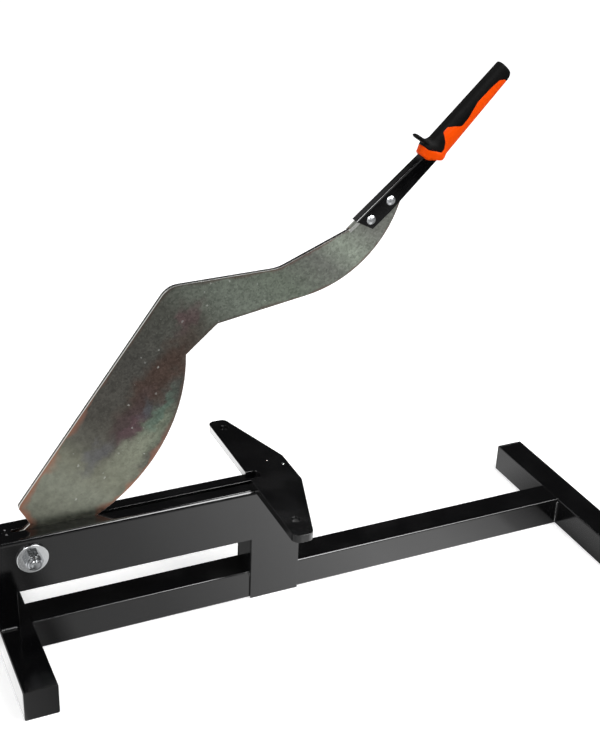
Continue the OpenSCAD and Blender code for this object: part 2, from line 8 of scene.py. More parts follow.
import logging
import math
from collections.abc import Iterable
from dataclasses import dataclass
from enum import Enum
from typing import Any

import bmesh
import bpy
from mathutils import Matrix, Vector


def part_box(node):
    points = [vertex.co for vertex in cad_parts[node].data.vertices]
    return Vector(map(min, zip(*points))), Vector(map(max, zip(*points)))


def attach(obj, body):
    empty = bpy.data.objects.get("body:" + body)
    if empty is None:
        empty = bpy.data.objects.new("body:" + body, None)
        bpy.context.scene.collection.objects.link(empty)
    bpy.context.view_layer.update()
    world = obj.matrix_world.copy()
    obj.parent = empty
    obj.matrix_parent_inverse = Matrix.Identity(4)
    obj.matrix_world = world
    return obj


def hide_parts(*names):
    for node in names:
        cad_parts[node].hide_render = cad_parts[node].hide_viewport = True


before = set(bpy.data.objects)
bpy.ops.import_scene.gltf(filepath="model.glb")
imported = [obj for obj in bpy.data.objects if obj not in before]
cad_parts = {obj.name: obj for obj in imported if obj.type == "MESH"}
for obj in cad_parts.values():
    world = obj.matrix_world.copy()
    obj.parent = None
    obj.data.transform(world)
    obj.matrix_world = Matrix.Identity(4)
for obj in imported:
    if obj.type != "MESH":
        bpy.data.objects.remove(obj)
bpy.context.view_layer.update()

LOG = logging.getLogger("cutter")
MM = 0.001
PHOTO_H = 730  # the photograph's height in pixels
BLADE_HALF_MM = 2.62  # half the blade's sheet with a little air; the packing plates lie outside it
RESIN_IOR = 1.5
MERGE_M = 5e-6  # points of a node's loose triangles that lie closer are one point
CUT_M = 1e-7
FLAT_DEG = 0.6  # faces that lean less than this to each other become one


class Body(Enum):
    """The two bodies that the pivot joins."""

    FRAME = "frame"
    LEVER = "lever"


class Slot(Enum):
    """The record's material slots."""

    PAINT = "black_paint"
    BRIGHT_ZINC = "bright_zinc"
    COLOUR_ZINC = "colour_zinc"
    BRONZE = "bronze"
    NYLON = "nylon"
    ORANGE = "orange_plastic"
    RUBBER = "black_rubber"


# Colours and nodes


def linear(colour: str) -> tuple[float, float, float, float]:
    """Turns an sRGB hex colour to linear light.

    Args:
        colour: Six hex digits after a #.

    Returns:
        Red, green, blue and an alpha of 1.
    """
    parts = [int(colour[i:i + 2], 16) / 255 for i in (1, 3, 5)]
    r, g, b = (c / 12.92 if c <= 0.04045 else ((c + 0.055) / 1.055) ** 2.4 for c in parts)
    return (r, g, b, 1.0)


def add_node(tree: bpy.types.NodeTree, kind: str, settings: dict[str, Any] | None = None,
             inputs: dict[str | int, Any] | None = None) -> bpy.types.Node:
    """Adds one node to a tree, with its settings and what its inputs take.

    Args:
        tree: The shader or geometry tree.
        kind: The node's type name.
        settings: Properties of the node. "ramp" is a list of (place, hex colour or grey).
        inputs: Sockets by name or number: another node's output to link, or a value.

    Returns:
        The new node.
    """
    node = tree.nodes.new(kind)
    for name, value in (settings or {}).items():
        if name == "ramp":
            stops = node.color_ramp.elements
            while len(stops) < len(value):
                stops.new(1.0)
            for stop, (place, tone) in zip(stops, value):
                stop.position = place
                stop.color = linear(tone) if isinstance(tone, str) else (tone, tone, tone, 1.0)
        else:
            setattr(node, name, value)
    for name, value in (inputs or {}).items():
        if isinstance(value, bpy.types.NodeSocket):
            tree.links.new(value, node.inputs[name])
        else:
            node.inputs[name].default_value = value
    return node


# Finishes


@dataclass(frozen=True)
class Finish:
    """A surface finish. Each kind fills the shader in its own way."""

    name: str

    def material(self) -> bpy.types.Material:
        """Gives the finish's Blender material, made once."""
        found = bpy.data.materials.get(self.name)
        if found:
            return found
        made = bpy.data.materials.new(self.name)
        made.use_nodes = True
        tree = made.node_tree
        shader = tree.nodes["Principled BSDF"]
        place = add_node(tree, "ShaderNodeTexCoord").outputs["Object"]
        self.fill(tree, shader, place)
        return made

    def fill(self, tree: bpy.types.NodeTree, shader: bpy.types.Node,
             place: bpy.types.NodeSocket) -> None:
        """Sets the shader's own values and links its patterns.

        Args:
            tree: The material's tree.
            shader: Its Principled shader.
            place: Object coordinates.
        """
        raise NotImplementedError


@dataclass(frozen=True)
class PowderCoat(Finish):
    """Gloss black polyester powder coat, sprayed on and baked.

    It gives the eye deep black faces with a soft mirror, a fine orange peel that
    breaks up what it reflects, and bright lines along each rounded edge.
    """

    base: str = "#060607"
    peel_mm: float = 3.0
    grain_mm: float = 1.1
    grain_share: float = 0.45
    peel_height_mm: float = 0.016
    peel_strength: float = 0.5
    cloud_mm: float = 50.0
    cloud_range: tuple[float, float] = (0.35, 0.65)
    roughness: tuple[float, float] = (0.09, 0.2)

    def fill(self, tree: bpy.types.NodeTree, shader: bpy.types.Node,
             place: bpy.types.NodeSocket) -> None:
        """Links the orange peel and the clouded gloss."""
        peel = add_node(tree, "ShaderNodeTexNoise", {}, {
            "Vector": place, "Scale": 1 / (self.peel_mm * MM), "Detail": 1.0})
        grain = add_node(tree, "ShaderNodeTexNoise", {}, {
            "Vector": place, "Scale": 1 / (self.grain_mm * MM), "Detail": 0.0})
        both = add_node(tree, "ShaderNodeMath", {"operation": "MULTIPLY_ADD"}, {
            0: grain.outputs["Fac"], 1: self.grain_share, 2: peel.outputs["Fac"]})
        bump = add_node(tree, "ShaderNodeBump", {}, {
            "Height": both.outputs[0], "Strength": self.peel_strength,
            "Distance": self.peel_height_mm * MM})
        cloud = add_node(tree, "ShaderNodeTexNoise", {}, {
            "Vector": place, "Scale": 1 / (self.cloud_mm * MM), "Detail": 3.0})
        gloss = add_node(tree, "ShaderNodeMapRange", {}, {
            "Value": cloud.outputs["Fac"], "From Min": self.cloud_range[0],
            "From Max": self.cloud_range[1],
            "To Min": self.roughness[0], "To Max": self.roughness[1]})
        tree.links.new(gloss.outputs["Result"], shader.inputs["Roughness"])
        tree.links.new(bump.outputs["Normal"], shader.inputs["Normal"])
        shader.inputs["Base Color"].default_value = linear(self.base)
        shader.inputs["IOR"].default_value = RESIN_IOR


@dataclass(frozen=True)
class FilmPatch:
    """A place on the blade where the passivation's film has a thickness, and so a hue, of its own."""

    at_mm: tuple[float, float]
    reach_mm: tuple[float, float]
    hue: str
    turn_deg: float = 50.0
    share: float = 0.9


@dataclass(frozen=True)
class ColourPassivatedZinc(Finish):
    """Sheet steel, zinc plated and colour passivated in a dip.

    It gives the eye an olive grey metal whose thin film turns brown, rose, blue and
    green where it thickens, with an orange red rim along the cut edges, a bright line
    where the shears broke the sheet, spangle and a few bright specks. Its lighter tone at
    the hub's end is partly painted reflection of the near floor. The rim
    follows the attribute rim_mm, each point's distance from the outline, and
    run_mm, its distance along the blade from the hub. The spangle is drawn
    2.2 mm wide, about four times the real size, so that it shows.
    """

    spangle_mm: float = 2.2
    spangle_middle: float = 0.46
    spangle_swing: tuple[float, float] = (0.1, 0.42)
    spangle_share: tuple[float, float] = (0.17, 0.36)
    speck_from: tuple[float, float] = (0.996, 0.999)
    speck_light: float = 0.35
    grain_mm: float = 1.2
    grain_height_mm: float = 0.03
    grain_strength: float = 0.35
    mottle_mm: float = 7.0
    mottle_range: tuple[float, float] = (0.3, 0.7)
    mottle_tone: tuple[float, float] = (0.88, 1.14)
    wisp_mm: float = 24.0
    warp_m: float = 0.045
    patch_fade: tuple[float, float] = (0.25, 1.15)
    fracture_and_shade_from_mm: float = -0.9
    broken_hue: str = "#c9cbc6"
    fracture_and_shade_hue: str = "#181816"
    bare_mm: tuple[float, float] = (0.05, 0.34)
    bare_share: float = 0.9
    sheet_half_mm: float = BLADE_HALF_MM
    run_mm: tuple[float, float] = (-100.0, 420.0)
    roughness: tuple[float, float] = (0.3, 0.44)
    # tones along the blade by run_mm: the film's own, and lighter at the hub's end with painted
    # reflection of the near floor
    along: tuple[tuple[float, str], ...] = (
        (-100, "#75776b"), (-45, "#84877a"), (-15, "#747568"), (10, "#5d5c55"), (40, "#4e4c47"),
        (120, "#4b4a46"), (190, "#53544e"), (240, "#737a70"), (290, "#737b6f"),
        (335, "#7c7f78"), (365, "#a5aea0"), (400, "#8f918a"))
    patches: tuple[FilmPatch, ...] = (
        FilmPatch((-215, 255), (55, 22), "#6f7868", 50.0, 0.75),
        FilmPatch((-245, 228), (55, 25), "#7f8273", 50.0, 0.8),
        FilmPatch((-208, 326), (95, 25), "#4a3c36"),
        FilmPatch((-240, 282), (45, 17), "#4a3f40", 50.0, 0.7),
        FilmPatch((-172, 397), (26, 15), "#5f474b", 62.0, 0.55),
        FilmPatch((-240, 268), (30, 11), "#5c474d", 45.0, 0.55),
        FilmPatch((-221, 287), (20, 9), "#4c545a", 50.0, 0.5),
        FilmPatch((-205, 283), (42, 9), "#586b60", 52.0, 0.7),
        FilmPatch((-285, 238), (34, 13), "#5f5f64", 48.0, 0.6),
        FilmPatch((-160, 330), (60, 12), "#545c50", 70.0, 0.6),
    )
    rim_hues: tuple[tuple[float, str], ...] = (
        (-100, "#a2654f"), (-20, "#a26a55"), (45, "#8c6355"), (90, "#5d4a44"),
        (230, "#4a3d3a"), (300, "#6a4a45"), (400, "#7a4f4a"))
    rim_reach_mm: tuple[float, float] = (1.0, 9.0)
    rim_wave_mm: float = 30.0
    rim_wave_range: tuple[float, float] = (0.35, 0.7)
    rim_widen: tuple[float, float] = (2.0, 0.8)
    rim_widen_share: tuple[float, float] = (0.24, 0.4)
    rim_weight: float = 0.7

    def fill(self, tree: bpy.types.NodeTree, shader: bpy.types.Node,
             place: bpy.types.NodeSocket) -> None:
        """Links the film's colours, the rim, the bare edge, the spangle and the specks."""
        rim = add_node(tree, "ShaderNodeAttribute", {"attribute_name": "rim_mm"}).outputs["Fac"]
        run = add_node(tree, "ShaderNodeAttribute", {"attribute_name": "run_mm"}).outputs["Fac"]
        share = add_node(tree, "ShaderNodeMapRange", {}, {
            "Value": run, "From Min": self.run_mm[0], "From Max": self.run_mm[1]}).outputs["Result"]
        film = self.film(tree, place, share)
        cells = add_node(tree, "ShaderNodeTexVoronoi", {}, {
            "Vector": place, "Scale": 1 / (self.spangle_mm * MM)})
        grey = add_node(tree, "ShaderNodeSeparateColor", {}, {"Color": cells.outputs["Color"]})
        coarse = add_node(tree, "ShaderNodeMapRange", {}, {
            "Value": share, "From Min": self.spangle_share[0], "From Max": self.spangle_share[1],
            "To Min": self.spangle_swing[0], "To Max": self.spangle_swing[1]})
        centred = add_node(tree, "ShaderNodeMath", {"operation": "SUBTRACT"}, {
            0: grey.outputs["Red"], 1: self.spangle_middle})
        swing = add_node(tree, "ShaderNodeMath", {"operation": "MULTIPLY_ADD"}, {
            0: centred.outputs[0], 1: coarse.outputs["Result"], 2: 1.0})
        toned = add_node(tree, "ShaderNodeVectorMath", {"operation": "SCALE"}, {
            0: film, "Scale": swing.outputs[0]})
        rimmed = self.rimmed(tree, place, toned.outputs["Vector"], rim, share)
        speck = add_node(tree, "ShaderNodeMapRange", {}, {
            "Value": grey.outputs["Blue"], "From Min": self.speck_from[0],
            "From Max": self.speck_from[1], "To Min": 0.0, "To Max": self.speck_light})
        bare = add_node(tree, "ShaderNodeMapRange", {}, {
            "Value": rim, "From Min": self.bare_mm[0], "From Max": self.bare_mm[1],
            "To Min": self.bare_share, "To Max": 0.0})
        depth = add_node(tree, "ShaderNodeSeparateXYZ", {}, {"Vector": place}).outputs["Y"]
        away = add_node(tree, "ShaderNodeMath", {"operation": "ABSOLUTE"}, {0: depth})
        plate = add_node(tree, "ShaderNodeMath", {"operation": "GREATER_THAN"}, {
            0: away.outputs[0], 1: self.sheet_half_mm * MM})
        # the back part of each cut edge is near black: partly the fracture zone, partly a painted
        # dark reflection of the ceiling
        fracture_and_shade_mask = add_node(tree, "ShaderNodeMath", {"operation": "GREATER_THAN"}, {
            0: depth, 1: self.fracture_and_shade_from_mm * MM})
        cut = add_node(tree, "ShaderNodeMix", {"data_type": "RGBA"}, {
            "Factor": fracture_and_shade_mask.outputs[0], 6: linear(self.broken_hue), 7: linear(self.fracture_and_shade_hue)})
        edged = add_node(tree, "ShaderNodeMix", {"data_type": "RGBA"}, {
            "Factor": bare.outputs["Result"], 6: rimmed, 7: cut.outputs[2]})
        light = add_node(tree, "ShaderNodeMath", {"operation": "MAXIMUM"}, {
            0: speck.outputs["Result"], 1: plate.outputs[0]})
        done = add_node(tree, "ShaderNodeMix", {"data_type": "RGBA"}, {
            "Factor": light.outputs[0], 6: edged.outputs[2], 7: linear(self.broken_hue)})
        tree.links.new(done.outputs[2], shader.inputs["Base Color"])
        rough = add_node(tree, "ShaderNodeMapRange", {}, {
            "Value": grey.outputs["Green"], "To Min": self.roughness[0],
            "To Max": self.roughness[1]})
        tree.links.new(rough.outputs["Result"], shader.inputs["Roughness"])
        fine = add_node(tree, "ShaderNodeTexNoise", {}, {
            "Vector": place, "Scale": 1 / (self.grain_mm * MM), "Detail": 1.0})
        bump = add_node(tree, "ShaderNodeBump", {}, {
            "Height": fine.outputs["Fac"], "Strength": self.grain_strength,
            "Distance": self.grain_height_mm * MM})
        tree.links.new(bump.outputs["Normal"], shader.inputs["Normal"])
        shader.inputs["Metallic"].default_value = 1.0

    def film(self, tree: bpy.types.NodeTree, place: bpy.types.NodeSocket,
             share: bpy.types.NodeSocket) -> bpy.types.NodeSocket:
        """Mixes the film's colours and painted reflection along the blade, and in its patches.

        Args:
            tree: The material's tree.
            place: Object coordinates.
            share: 0 at the hub's end of the blade and 1 at the arm's.

        Returns:
            The colour's socket.
        """
        low, high = self.run_mm
        base = add_node(tree, "ShaderNodeValToRGB", {"ramp": [
            ((run - low) / (high - low), hue) for run, hue in self.along]}, {"Fac": share})
        wisp = add_node(tree, "ShaderNodeTexNoise", {}, {
            "Vector": place, "Scale": 1 / (self.wisp_mm * MM), "Detail": 4.0, "Roughness": 0.6})
        off = add_node(tree, "ShaderNodeVectorMath", {"operation": "SUBTRACT"}, {
            0: wisp.outputs["Color"], 1: (0.5, 0.5, 0.5)})
        scaled = add_node(tree, "ShaderNodeVectorMath", {"operation": "SCALE"}, {
            0: off.outputs["Vector"], "Scale": self.warp_m})
        warped = add_node(tree, "ShaderNodeVectorMath", {"operation": "ADD"}, {
            0: place, 1: scaled.outputs["Vector"]}).outputs["Vector"]
        colour = base.outputs["Color"]
        for patch in self.patches:
            local = add_node(tree, "ShaderNodeMapping", {"vector_type": "TEXTURE"}, {
                "Vector": warped, "Location": (patch.at_mm[0] * MM, 0.0, patch.at_mm[1] * MM),
                "Rotation": (0.0, -math.radians(patch.turn_deg), 0.0),
                "Scale": (patch.reach_mm[0] * MM, 1.0, patch.reach_mm[1] * MM)})
            away = add_node(tree, "ShaderNodeVectorMath", {"operation": "LENGTH"}, {
                0: local.outputs["Vector"]})
            weight = add_node(tree, "ShaderNodeMapRange", {"interpolation_type": "SMOOTHSTEP"}, {
                "Value": away.outputs["Value"], "From Min": self.patch_fade[0],
                "From Max": self.patch_fade[1], "To Min": patch.share, "To Max": 0.0})
            mixed = add_node(tree, "ShaderNodeMix", {"data_type": "RGBA"}, {
                "Factor": weight.outputs["Result"], 6: colour, 7: linear(patch.hue)})
            colour = mixed.outputs[2]
        mottle = add_node(tree, "ShaderNodeTexNoise", {}, {
            "Vector": place, "Scale": 1 / (self.mottle_mm * MM), "Detail": 2.0})
        amount = add_node(tree, "ShaderNodeMapRange", {}, {
            "Value": mottle.outputs["Fac"], "From Min": self.mottle_range[0],
            "From Max": self.mottle_range[1], "To Min": self.mottle_tone[0],
            "To Max": self.mottle_tone[1]})
        toned = add_node(tree, "ShaderNodeVectorMath", {"operation": "SCALE"}, {
            0: colour, "Scale": amount.outputs["Result"]})
        return toned.outputs["Vector"]

    def rimmed(self, tree: bpy.types.NodeTree, place: bpy.types.NodeSocket,
               colour: bpy.types.NodeSocket, rim: bpy.types.NodeSocket,
               share: bpy.types.NodeSocket) -> bpy.types.NodeSocket:
        """Lays the warm rim over the film.

        Args:
            tree: The material's tree.
            place: Object coordinates.
            colour: The film's colour.
            rim: Distance from the outline in millimetres.
            share: 0 at the hub's end of the blade and 1 at the arm's.

        Returns:
            The colour's socket.
        """
        low, high = self.run_mm
        hues = add_node(tree, "ShaderNodeValToRGB", {"ramp": [
            ((run - low) / (high - low), hue) for run, hue in self.rim_hues]}, {"Fac": share})
        noise = add_node(tree, "ShaderNodeTexNoise", {}, {
            "Vector": place, "Scale": 1 / (self.rim_wave_mm * MM), "Detail": 2.0})
        reach = add_node(tree, "ShaderNodeMapRange", {}, {
            "Value": noise.outputs["Fac"], "From Min": self.rim_wave_range[0],
            "From Max": self.rim_wave_range[1], "To Min": self.rim_reach_mm[0],
            "To Max": self.rim_reach_mm[1]})
        widen = add_node(tree, "ShaderNodeMapRange", {}, {
            "Value": share, "From Min": self.rim_widen_share[0],
            "From Max": self.rim_widen_share[1], "To Min": self.rim_widen[0],
            "To Max": self.rim_widen[1]})
        wide = add_node(tree, "ShaderNodeMath", {"operation": "MULTIPLY"}, {
            0: reach.outputs["Result"], 1: widen.outputs["Result"]})
        inside = add_node(tree, "ShaderNodeMath", {"operation": "DIVIDE"}, {
            0: rim, 1: wide.outputs[0]})
        weight = add_node(tree, "ShaderNodeMapRange", {"interpolation_type": "SMOOTHSTEP"}, {
            "Value": inside.outputs[0], "From Min": 0.0, "From Max": 1.0,
            "To Min": self.rim_weight, "To Max": 0.0})
        mixed = add_node(tree, "ShaderNodeMix", {"data_type": "RGBA"}, {
            "Factor": weight.outputs["Result"], 6: colour, 7: hues.outputs["Color"]})
        return mixed.outputs[2]


@dataclass(frozen=True)
class BrightZinc(Finish):
    """Turned or stamped steel, bright zinc plated in a barrel.

    It gives the eye a cool white metal with small soft dents and cloudy gloss.
    """

    base: str = "#d3d5d6"
    dent_mm: float = 2.0
    dent_depth_mm: float = 0.05
    dent_strength: float = 0.5
    dent_range: tuple[float, float] = (0.3, 0.7)
    roughness: tuple[float, float] = (0.1, 0.25)

    def fill(self, tree: bpy.types.NodeTree, shader: bpy.types.Node,
             place: bpy.types.NodeSocket) -> None:
        """Links the dents and the cloudy gloss."""
        dents = add_node(tree, "ShaderNodeTexNoise", {}, {
            "Vector": place, "Scale": 1 / (self.dent_mm * MM), "Detail": 2.0})
        bump = add_node(tree, "ShaderNodeBump", {}, {
            "Height": dents.outputs["Fac"], "Strength": self.dent_strength,
            "Distance": self.dent_depth_mm * MM})
        gloss = add_node(tree, "ShaderNodeMapRange", {}, {
            "Value": dents.outputs["Fac"], "From Min": self.dent_range[0],
            "From Max": self.dent_range[1], "To Min": self.roughness[0],
            "To Max": self.roughness[1]})
        tree.links.new(gloss.outputs["Result"], shader.inputs["Roughness"])
        tree.links.new(bump.outputs["Normal"], shader.inputs["Normal"])
        shader.inputs["Base Color"].default_value = linear(self.base)
        shader.inputs["Metallic"].default_value = 1.0


@dataclass(frozen=True)
class TurnedBronze(Finish):
    """Plain bearing bronze, turned on a lathe.

    It gives the eye a warm brown metal with a faint grain from the tool.
    """

    base: str = "#a9824f"
    groove_mm: float = 0.3
    roughness: tuple[float, float] = (0.25, 0.5)

    def fill(self, tree: bpy.types.NodeTree, shader: bpy.types.Node,
             place: bpy.types.NodeSocket) -> None:
        """Links the tool's grain, from groove to groove."""
        grain = add_node(tree, "ShaderNodeTexNoise", {}, {
            "Vector": place, "Scale": 1 / (self.groove_mm * MM), "Detail": 1.0})
        rough = add_node(tree, "ShaderNodeMapRange", {}, {
            "Value": grain.outputs["Fac"], "To Min": self.roughness[0],
            "To Max": self.roughness[1]})
        tree.links.new(rough.outputs["Result"], shader.inputs["Roughness"])
        shader.inputs["Base Color"].default_value = linear(self.base)
        shader.inputs["Metallic"].default_value = 1.0


@dataclass(frozen=True)
class MouldedPlastic(Finish):
    """Injection moulded plastic from a spark-eroded mould.

    It gives the eye a satin face with a fine, even texture.
    """

    base: str = "#ff5a00"
    texture_mm: float = 0.5
    texture_height_mm: float = 0.012
    texture_strength: float = 0.6
    worn_mm: float = 18.0
    worn_range: tuple[float, float] = (0.3, 0.7)
    roughness: tuple[float, float] = (0.36, 0.48)
    gloss_level: float = 0.5

    def fill(self, tree: bpy.types.NodeTree, shader: bpy.types.Node,
             place: bpy.types.NodeSocket) -> None:
        """Links the mould's texture and the satin gloss."""
        texture = add_node(tree, "ShaderNodeTexNoise", {}, {
            "Vector": place, "Scale": 1 / (self.texture_mm * MM), "Detail": 2.0})
        bump = add_node(tree, "ShaderNodeBump", {}, {
            "Height": texture.outputs["Fac"], "Strength": self.texture_strength,
            "Distance": self.texture_height_mm * MM})
        worn = add_node(tree, "ShaderNodeTexNoise", {}, {
            "Vector": place, "Scale": 1 / (self.worn_mm * MM), "Detail": 3.0})
        gloss = add_node(tree, "ShaderNodeMapRange", {}, {
            "Value": worn.outputs["Fac"], "From Min": self.worn_range[0],
            "From Max": self.worn_range[1], "To Min": self.roughness[0],
            "To Max": self.roughness[1]})
        tree.links.new(gloss.outputs["Result"], shader.inputs["Roughness"])
        tree.links.new(bump.outputs["Normal"], shader.inputs["Normal"])
        shader.inputs["Base Color"].default_value = linear(self.base)
        shader.inputs["IOR"].default_value = RESIN_IOR
        shader.inputs["Specular IOR Level"].default_value = self.gloss_level


PAINT = PowderCoat("gloss_black_powder_coat")
PASSIVATED = ColourPassivatedZinc("colour_passivated_zinc")
ZINC = BrightZinc("bright_zinc_plate")
FASTENER_ZINC = BrightZinc("rolled_fastener_zinc", base="#8d8f91", roughness=(0.16, 0.28))
RIVET_ZINC = BrightZinc("pressed_rivet_zinc", base="#a4a6a8", dent_depth_mm=0.015,
                        roughness=(0.3, 0.4))
BRONZE = TurnedBronze("turned_bearing_bronze")
NYLON = MouldedPlastic("moulded_blue_nylon", base="#3d6396")
ORANGE = MouldedPlastic("orange_moulded_polypropylene", base="#ec4b00", gloss_level=0.04)
RUBBER = MouldedPlastic("black_soft_elastomer", base="#080808", texture_mm=0.7,
                        texture_height_mm=0.02, roughness=(0.58, 0.7), gloss_level=0.04)


# Meshes and pieces


def merged_copy(node: str) -> bpy.types.Mesh:
    """Copies a CAD node's mesh, with its loose triangles joined into faces.

    Args:
        node: The node's name.

    Returns:
        A closed mesh whose flat faces are single faces.
    """
    shape = bmesh.new()
    shape.from_mesh(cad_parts[node].data)
    bmesh.ops.remove_doubles(shape, verts=shape.verts, dist=MERGE_M)
    bmesh.ops.dissolve_limit(shape, angle_limit=math.radians(FLAT_DEG), verts=shape.verts,
                             edges=shape.edges)
    mesh = bpy.data.meshes.new(node + "_copy")
    shape.to_mesh(mesh)
    shape.free()
    return mesh


def cut_across(mesh: bpy.types.Mesh, cuts: Iterable[tuple[int, float]]) -> None:
    """Cuts a mesh's faces along planes, and leaves its shape as it is.

    Args:
        mesh: The mesh.
        cuts: Each plane's axis, 0 to 2, and its place on it in metres.
    """
    shape = bmesh.new()
    shape.from_mesh(mesh)
    for axis, place in cuts:
        point, normal = Vector((0, 0, 0)), Vector((0, 0, 0))
        point[axis], normal[axis] = place, 1.0
        everything = list(shape.verts) + list(shape.edges) + list(shape.faces)
        bmesh.ops.bisect_plane(shape, geom=everything, plane_co=point, plane_no=normal,
                               dist=CUT_M)
    shape.to_mesh(mesh)
    shape.free()


def softened(mesh: bpy.types.Mesh, name: str, round_mm: float, steps: int = 2,
             from_deg: float = 38.0) -> bpy.types.Object:
    """Makes an object of a mesh, with its sharp edges rounded and its faces shaded evenly.

    Args:
        mesh: The piece's shape.
        name: The piece's name.
        round_mm: How far the rounding reaches from an edge. 0 leaves the edges.
        steps: Faces across each rounding.
        from_deg: The smallest angle between faces that counts as an edge.

    Returns:
        The object, a plain mesh with no modifier left.
    """
    piece = bpy.data.objects.new(name, mesh)
    bpy.context.scene.collection.objects.link(piece)
    for face in mesh.polygons:
        face.use_smooth = True
    if round_mm > 0:
        edge = piece.modifiers.new("edge", "BEVEL")
        edge.width = round_mm * MM
        edge.segments = steps
        edge.limit_method = "ANGLE"
        edge.angle_limit = math.radians(from_deg)
    else:
        mesh.set_sharp_from_angle(angle=math.radians(from_deg))
    even = piece.modifiers.new("even", "WEIGHTED_NORMAL")
    even.keep_sharp = True
    bake(piece)
    return piece


def bake(piece: bpy.types.Object) -> None:
    """Turns a piece's modifiers into a plain mesh."""
    graph = bpy.context.evaluated_depsgraph_get()
    plain = bpy.data.meshes.new_from_object(piece.evaluated_get(graph),
                                            preserve_all_data_layers=True, depsgraph=graph)
    piece.modifiers.clear()
    piece.data = plain


def dress(piece: bpy.types.Object, finish: Finish, body: Body,
          stands_for: Iterable[str] = ()) -> None:
    """Gives a piece its finish and its body, and hides the nodes that it stands for.

    Args:
        piece: A finished piece.
        finish: Its surface.
        body: What it moves with.
        stands_for: CAD nodes that it takes the place of.
    """
    piece.data.materials.clear()
    piece.data.materials.append(finish.material())
    piece.data.polygons.foreach_set("material_index", [0] * len(piece.data.polygons))
    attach(piece, body.value)
    names = list(stands_for)
    if names:
        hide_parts(*names)
    LOG.info("%s: %d faces", piece.name, len(piece.data.polygons))


def new_tree(name: str, inputs: dict[str, str]) -> bpy.types.NodeTree:
    """Starts a geometry tree with named inputs and one geometry output.

    Args:
        name: The tree's name.
        inputs: Each input's name and socket type.

    Returns:
        The empty tree.
    """
    tree = bpy.data.node_groups.new(name, "GeometryNodeTree")
    tree.interface.new_socket("Geometry", in_out="OUTPUT", socket_type="NodeSocketGeometry")
    for title, kind in inputs.items():
        tree.interface.new_socket(title, in_out="INPUT", socket_type=kind)
    return tree


def finish_tree(tree: bpy.types.NodeTree, parts: list[bpy.types.NodeSocket],
                finish: Finish) -> None:
    """Ends a geometry tree: joins its parts, makes instances real and sets the material.

    Args:
        tree: The tree.
        parts: Geometry sockets to join.
        finish: The surface of all of it.
    """
    joined = add_node(tree, "GeometryNodeJoinGeometry")
    for part in parts:
        tree.links.new(part, joined.inputs[0])
    real = add_node(tree, "GeometryNodeRealizeInstances", {}, {"Geometry": joined.outputs[0]})
    dressed = add_node(tree, "GeometryNodeSetMaterial", {}, {
        "Geometry": real.outputs[0], "Material": finish.material()})
    end = add_node(tree, "NodeGroupOutput")
    tree.links.new(dressed.outputs[0], end.inputs[0])


def grown(tree: bpy.types.NodeTree, values: dict[str, Any]) -> bpy.types.Mesh:
    """Runs a geometry tree once and gives its plain mesh.

    Args:
        tree: The tree.
        values: What its named inputs take.

    Returns:
        The mesh, with nothing live left.
    """
    holder = bpy.data.objects.new("holder", bpy.data.meshes.new("holder"))
    bpy.context.scene.collection.objects.link(holder)
    maker = holder.modifiers.new("maker", "NODES")
    maker.node_group = tree
    for socket in tree.interface.items_tree:
        if socket.in_out == "INPUT":
            maker[socket.identifier] = values[socket.name]
    graph = bpy.context.evaluated_depsgraph_get()
    mesh = bpy.data.meshes.new_from_object(holder.evaluated_get(graph), depsgraph=graph)
    bpy.data.objects.remove(holder)
    return mesh


def loose_groups(shape: bmesh.types.BMesh) -> list[list[bmesh.types.BMVert]]:
    """Splits a shape's points into the groups that edges hold together."""
    groups: list[list[bmesh.types.BMVert]] = []
    seen: set[bmesh.types.BMVert] = set()
    for first in shape.verts:
        if first in seen:
            continue
        seen.add(first)
        group, todo = [], [first]
        while todo:
            here = todo.pop()
            group.append(here)
            for edge in here.link_edges:
                other = edge.other_vert(here)
                if other not in seen:
                    seen.add(other)
                    todo.append(other)
        groups.append(group)
    return groups


@dataclass
class SubAssembly:
    """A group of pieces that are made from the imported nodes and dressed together."""

    body: Body = Body.FRAME

    def part(self, node: str, name: str, finish: Finish, slot: Slot, round_mm: float,
             steps: int = 2, from_deg: float = 38.0) -> bpy.types.Object:
        """Makes one piece from a node's own shape.

        Args:
            node: The CAD node.
            name: The piece's name.
            finish: Its surface.
            slot: The record's slot of that surface. It is not used.
            round_mm: Rounding of its sharp edges.
            steps: Faces across the rounding.
            from_deg: The smallest angle that is rounded.

        Returns:
            The dressed piece.
        """
        piece = softened(merged_copy(node), name, round_mm, steps, from_deg)
        dress(piece, finish, self.body, [node])
        return piece


@dataclass
class WeldedBase(SubAssembly):
    """The painted frame: rail, feet, posts, side plates and the closing plates."""

    tube_edge_mm: float = 0.5
    sheet_edge_mm: float = 0.7
    cap_edge_mm: float = 0.6
    window_cut_x: float = -0.2

    def build(self) -> None:
        """Makes the tubes and sheets of the frame."""
        for node in ("base_rail", "left_foot", "right_foot", "left_post"):
            self.part(node, "painted_" + node, PAINT, Slot.PAINT, self.tube_edge_mm)
        # the blade drops into this post's open mouth, whose slotted rim is too narrow to round
        self.part("right_post", "painted_right_post", PAINT, Slot.PAINT, 0.0)
        for node in ("foot_end_caps", "beam_end_plate"):
            self.part(node, "painted_" + node, PAINT, Slot.PAINT, self.cap_edge_mm)
        low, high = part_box("pivot_bolt")
        # cuts through the bolt hole and the window, so that no face has to close round a hole
        cuts = [(0, (low.x + high.x) / 2), (2, (low.z + high.z) / 2), (0, self.window_cut_x)]
        for node in ("front_side_plate", "back_side_plate"):
            mesh = merged_copy(node)
            cut_across(mesh, cuts)
            plate = softened(mesh, "painted_" + node, self.sheet_edge_mm)
            dress(plate, PAINT, self.body, [node])


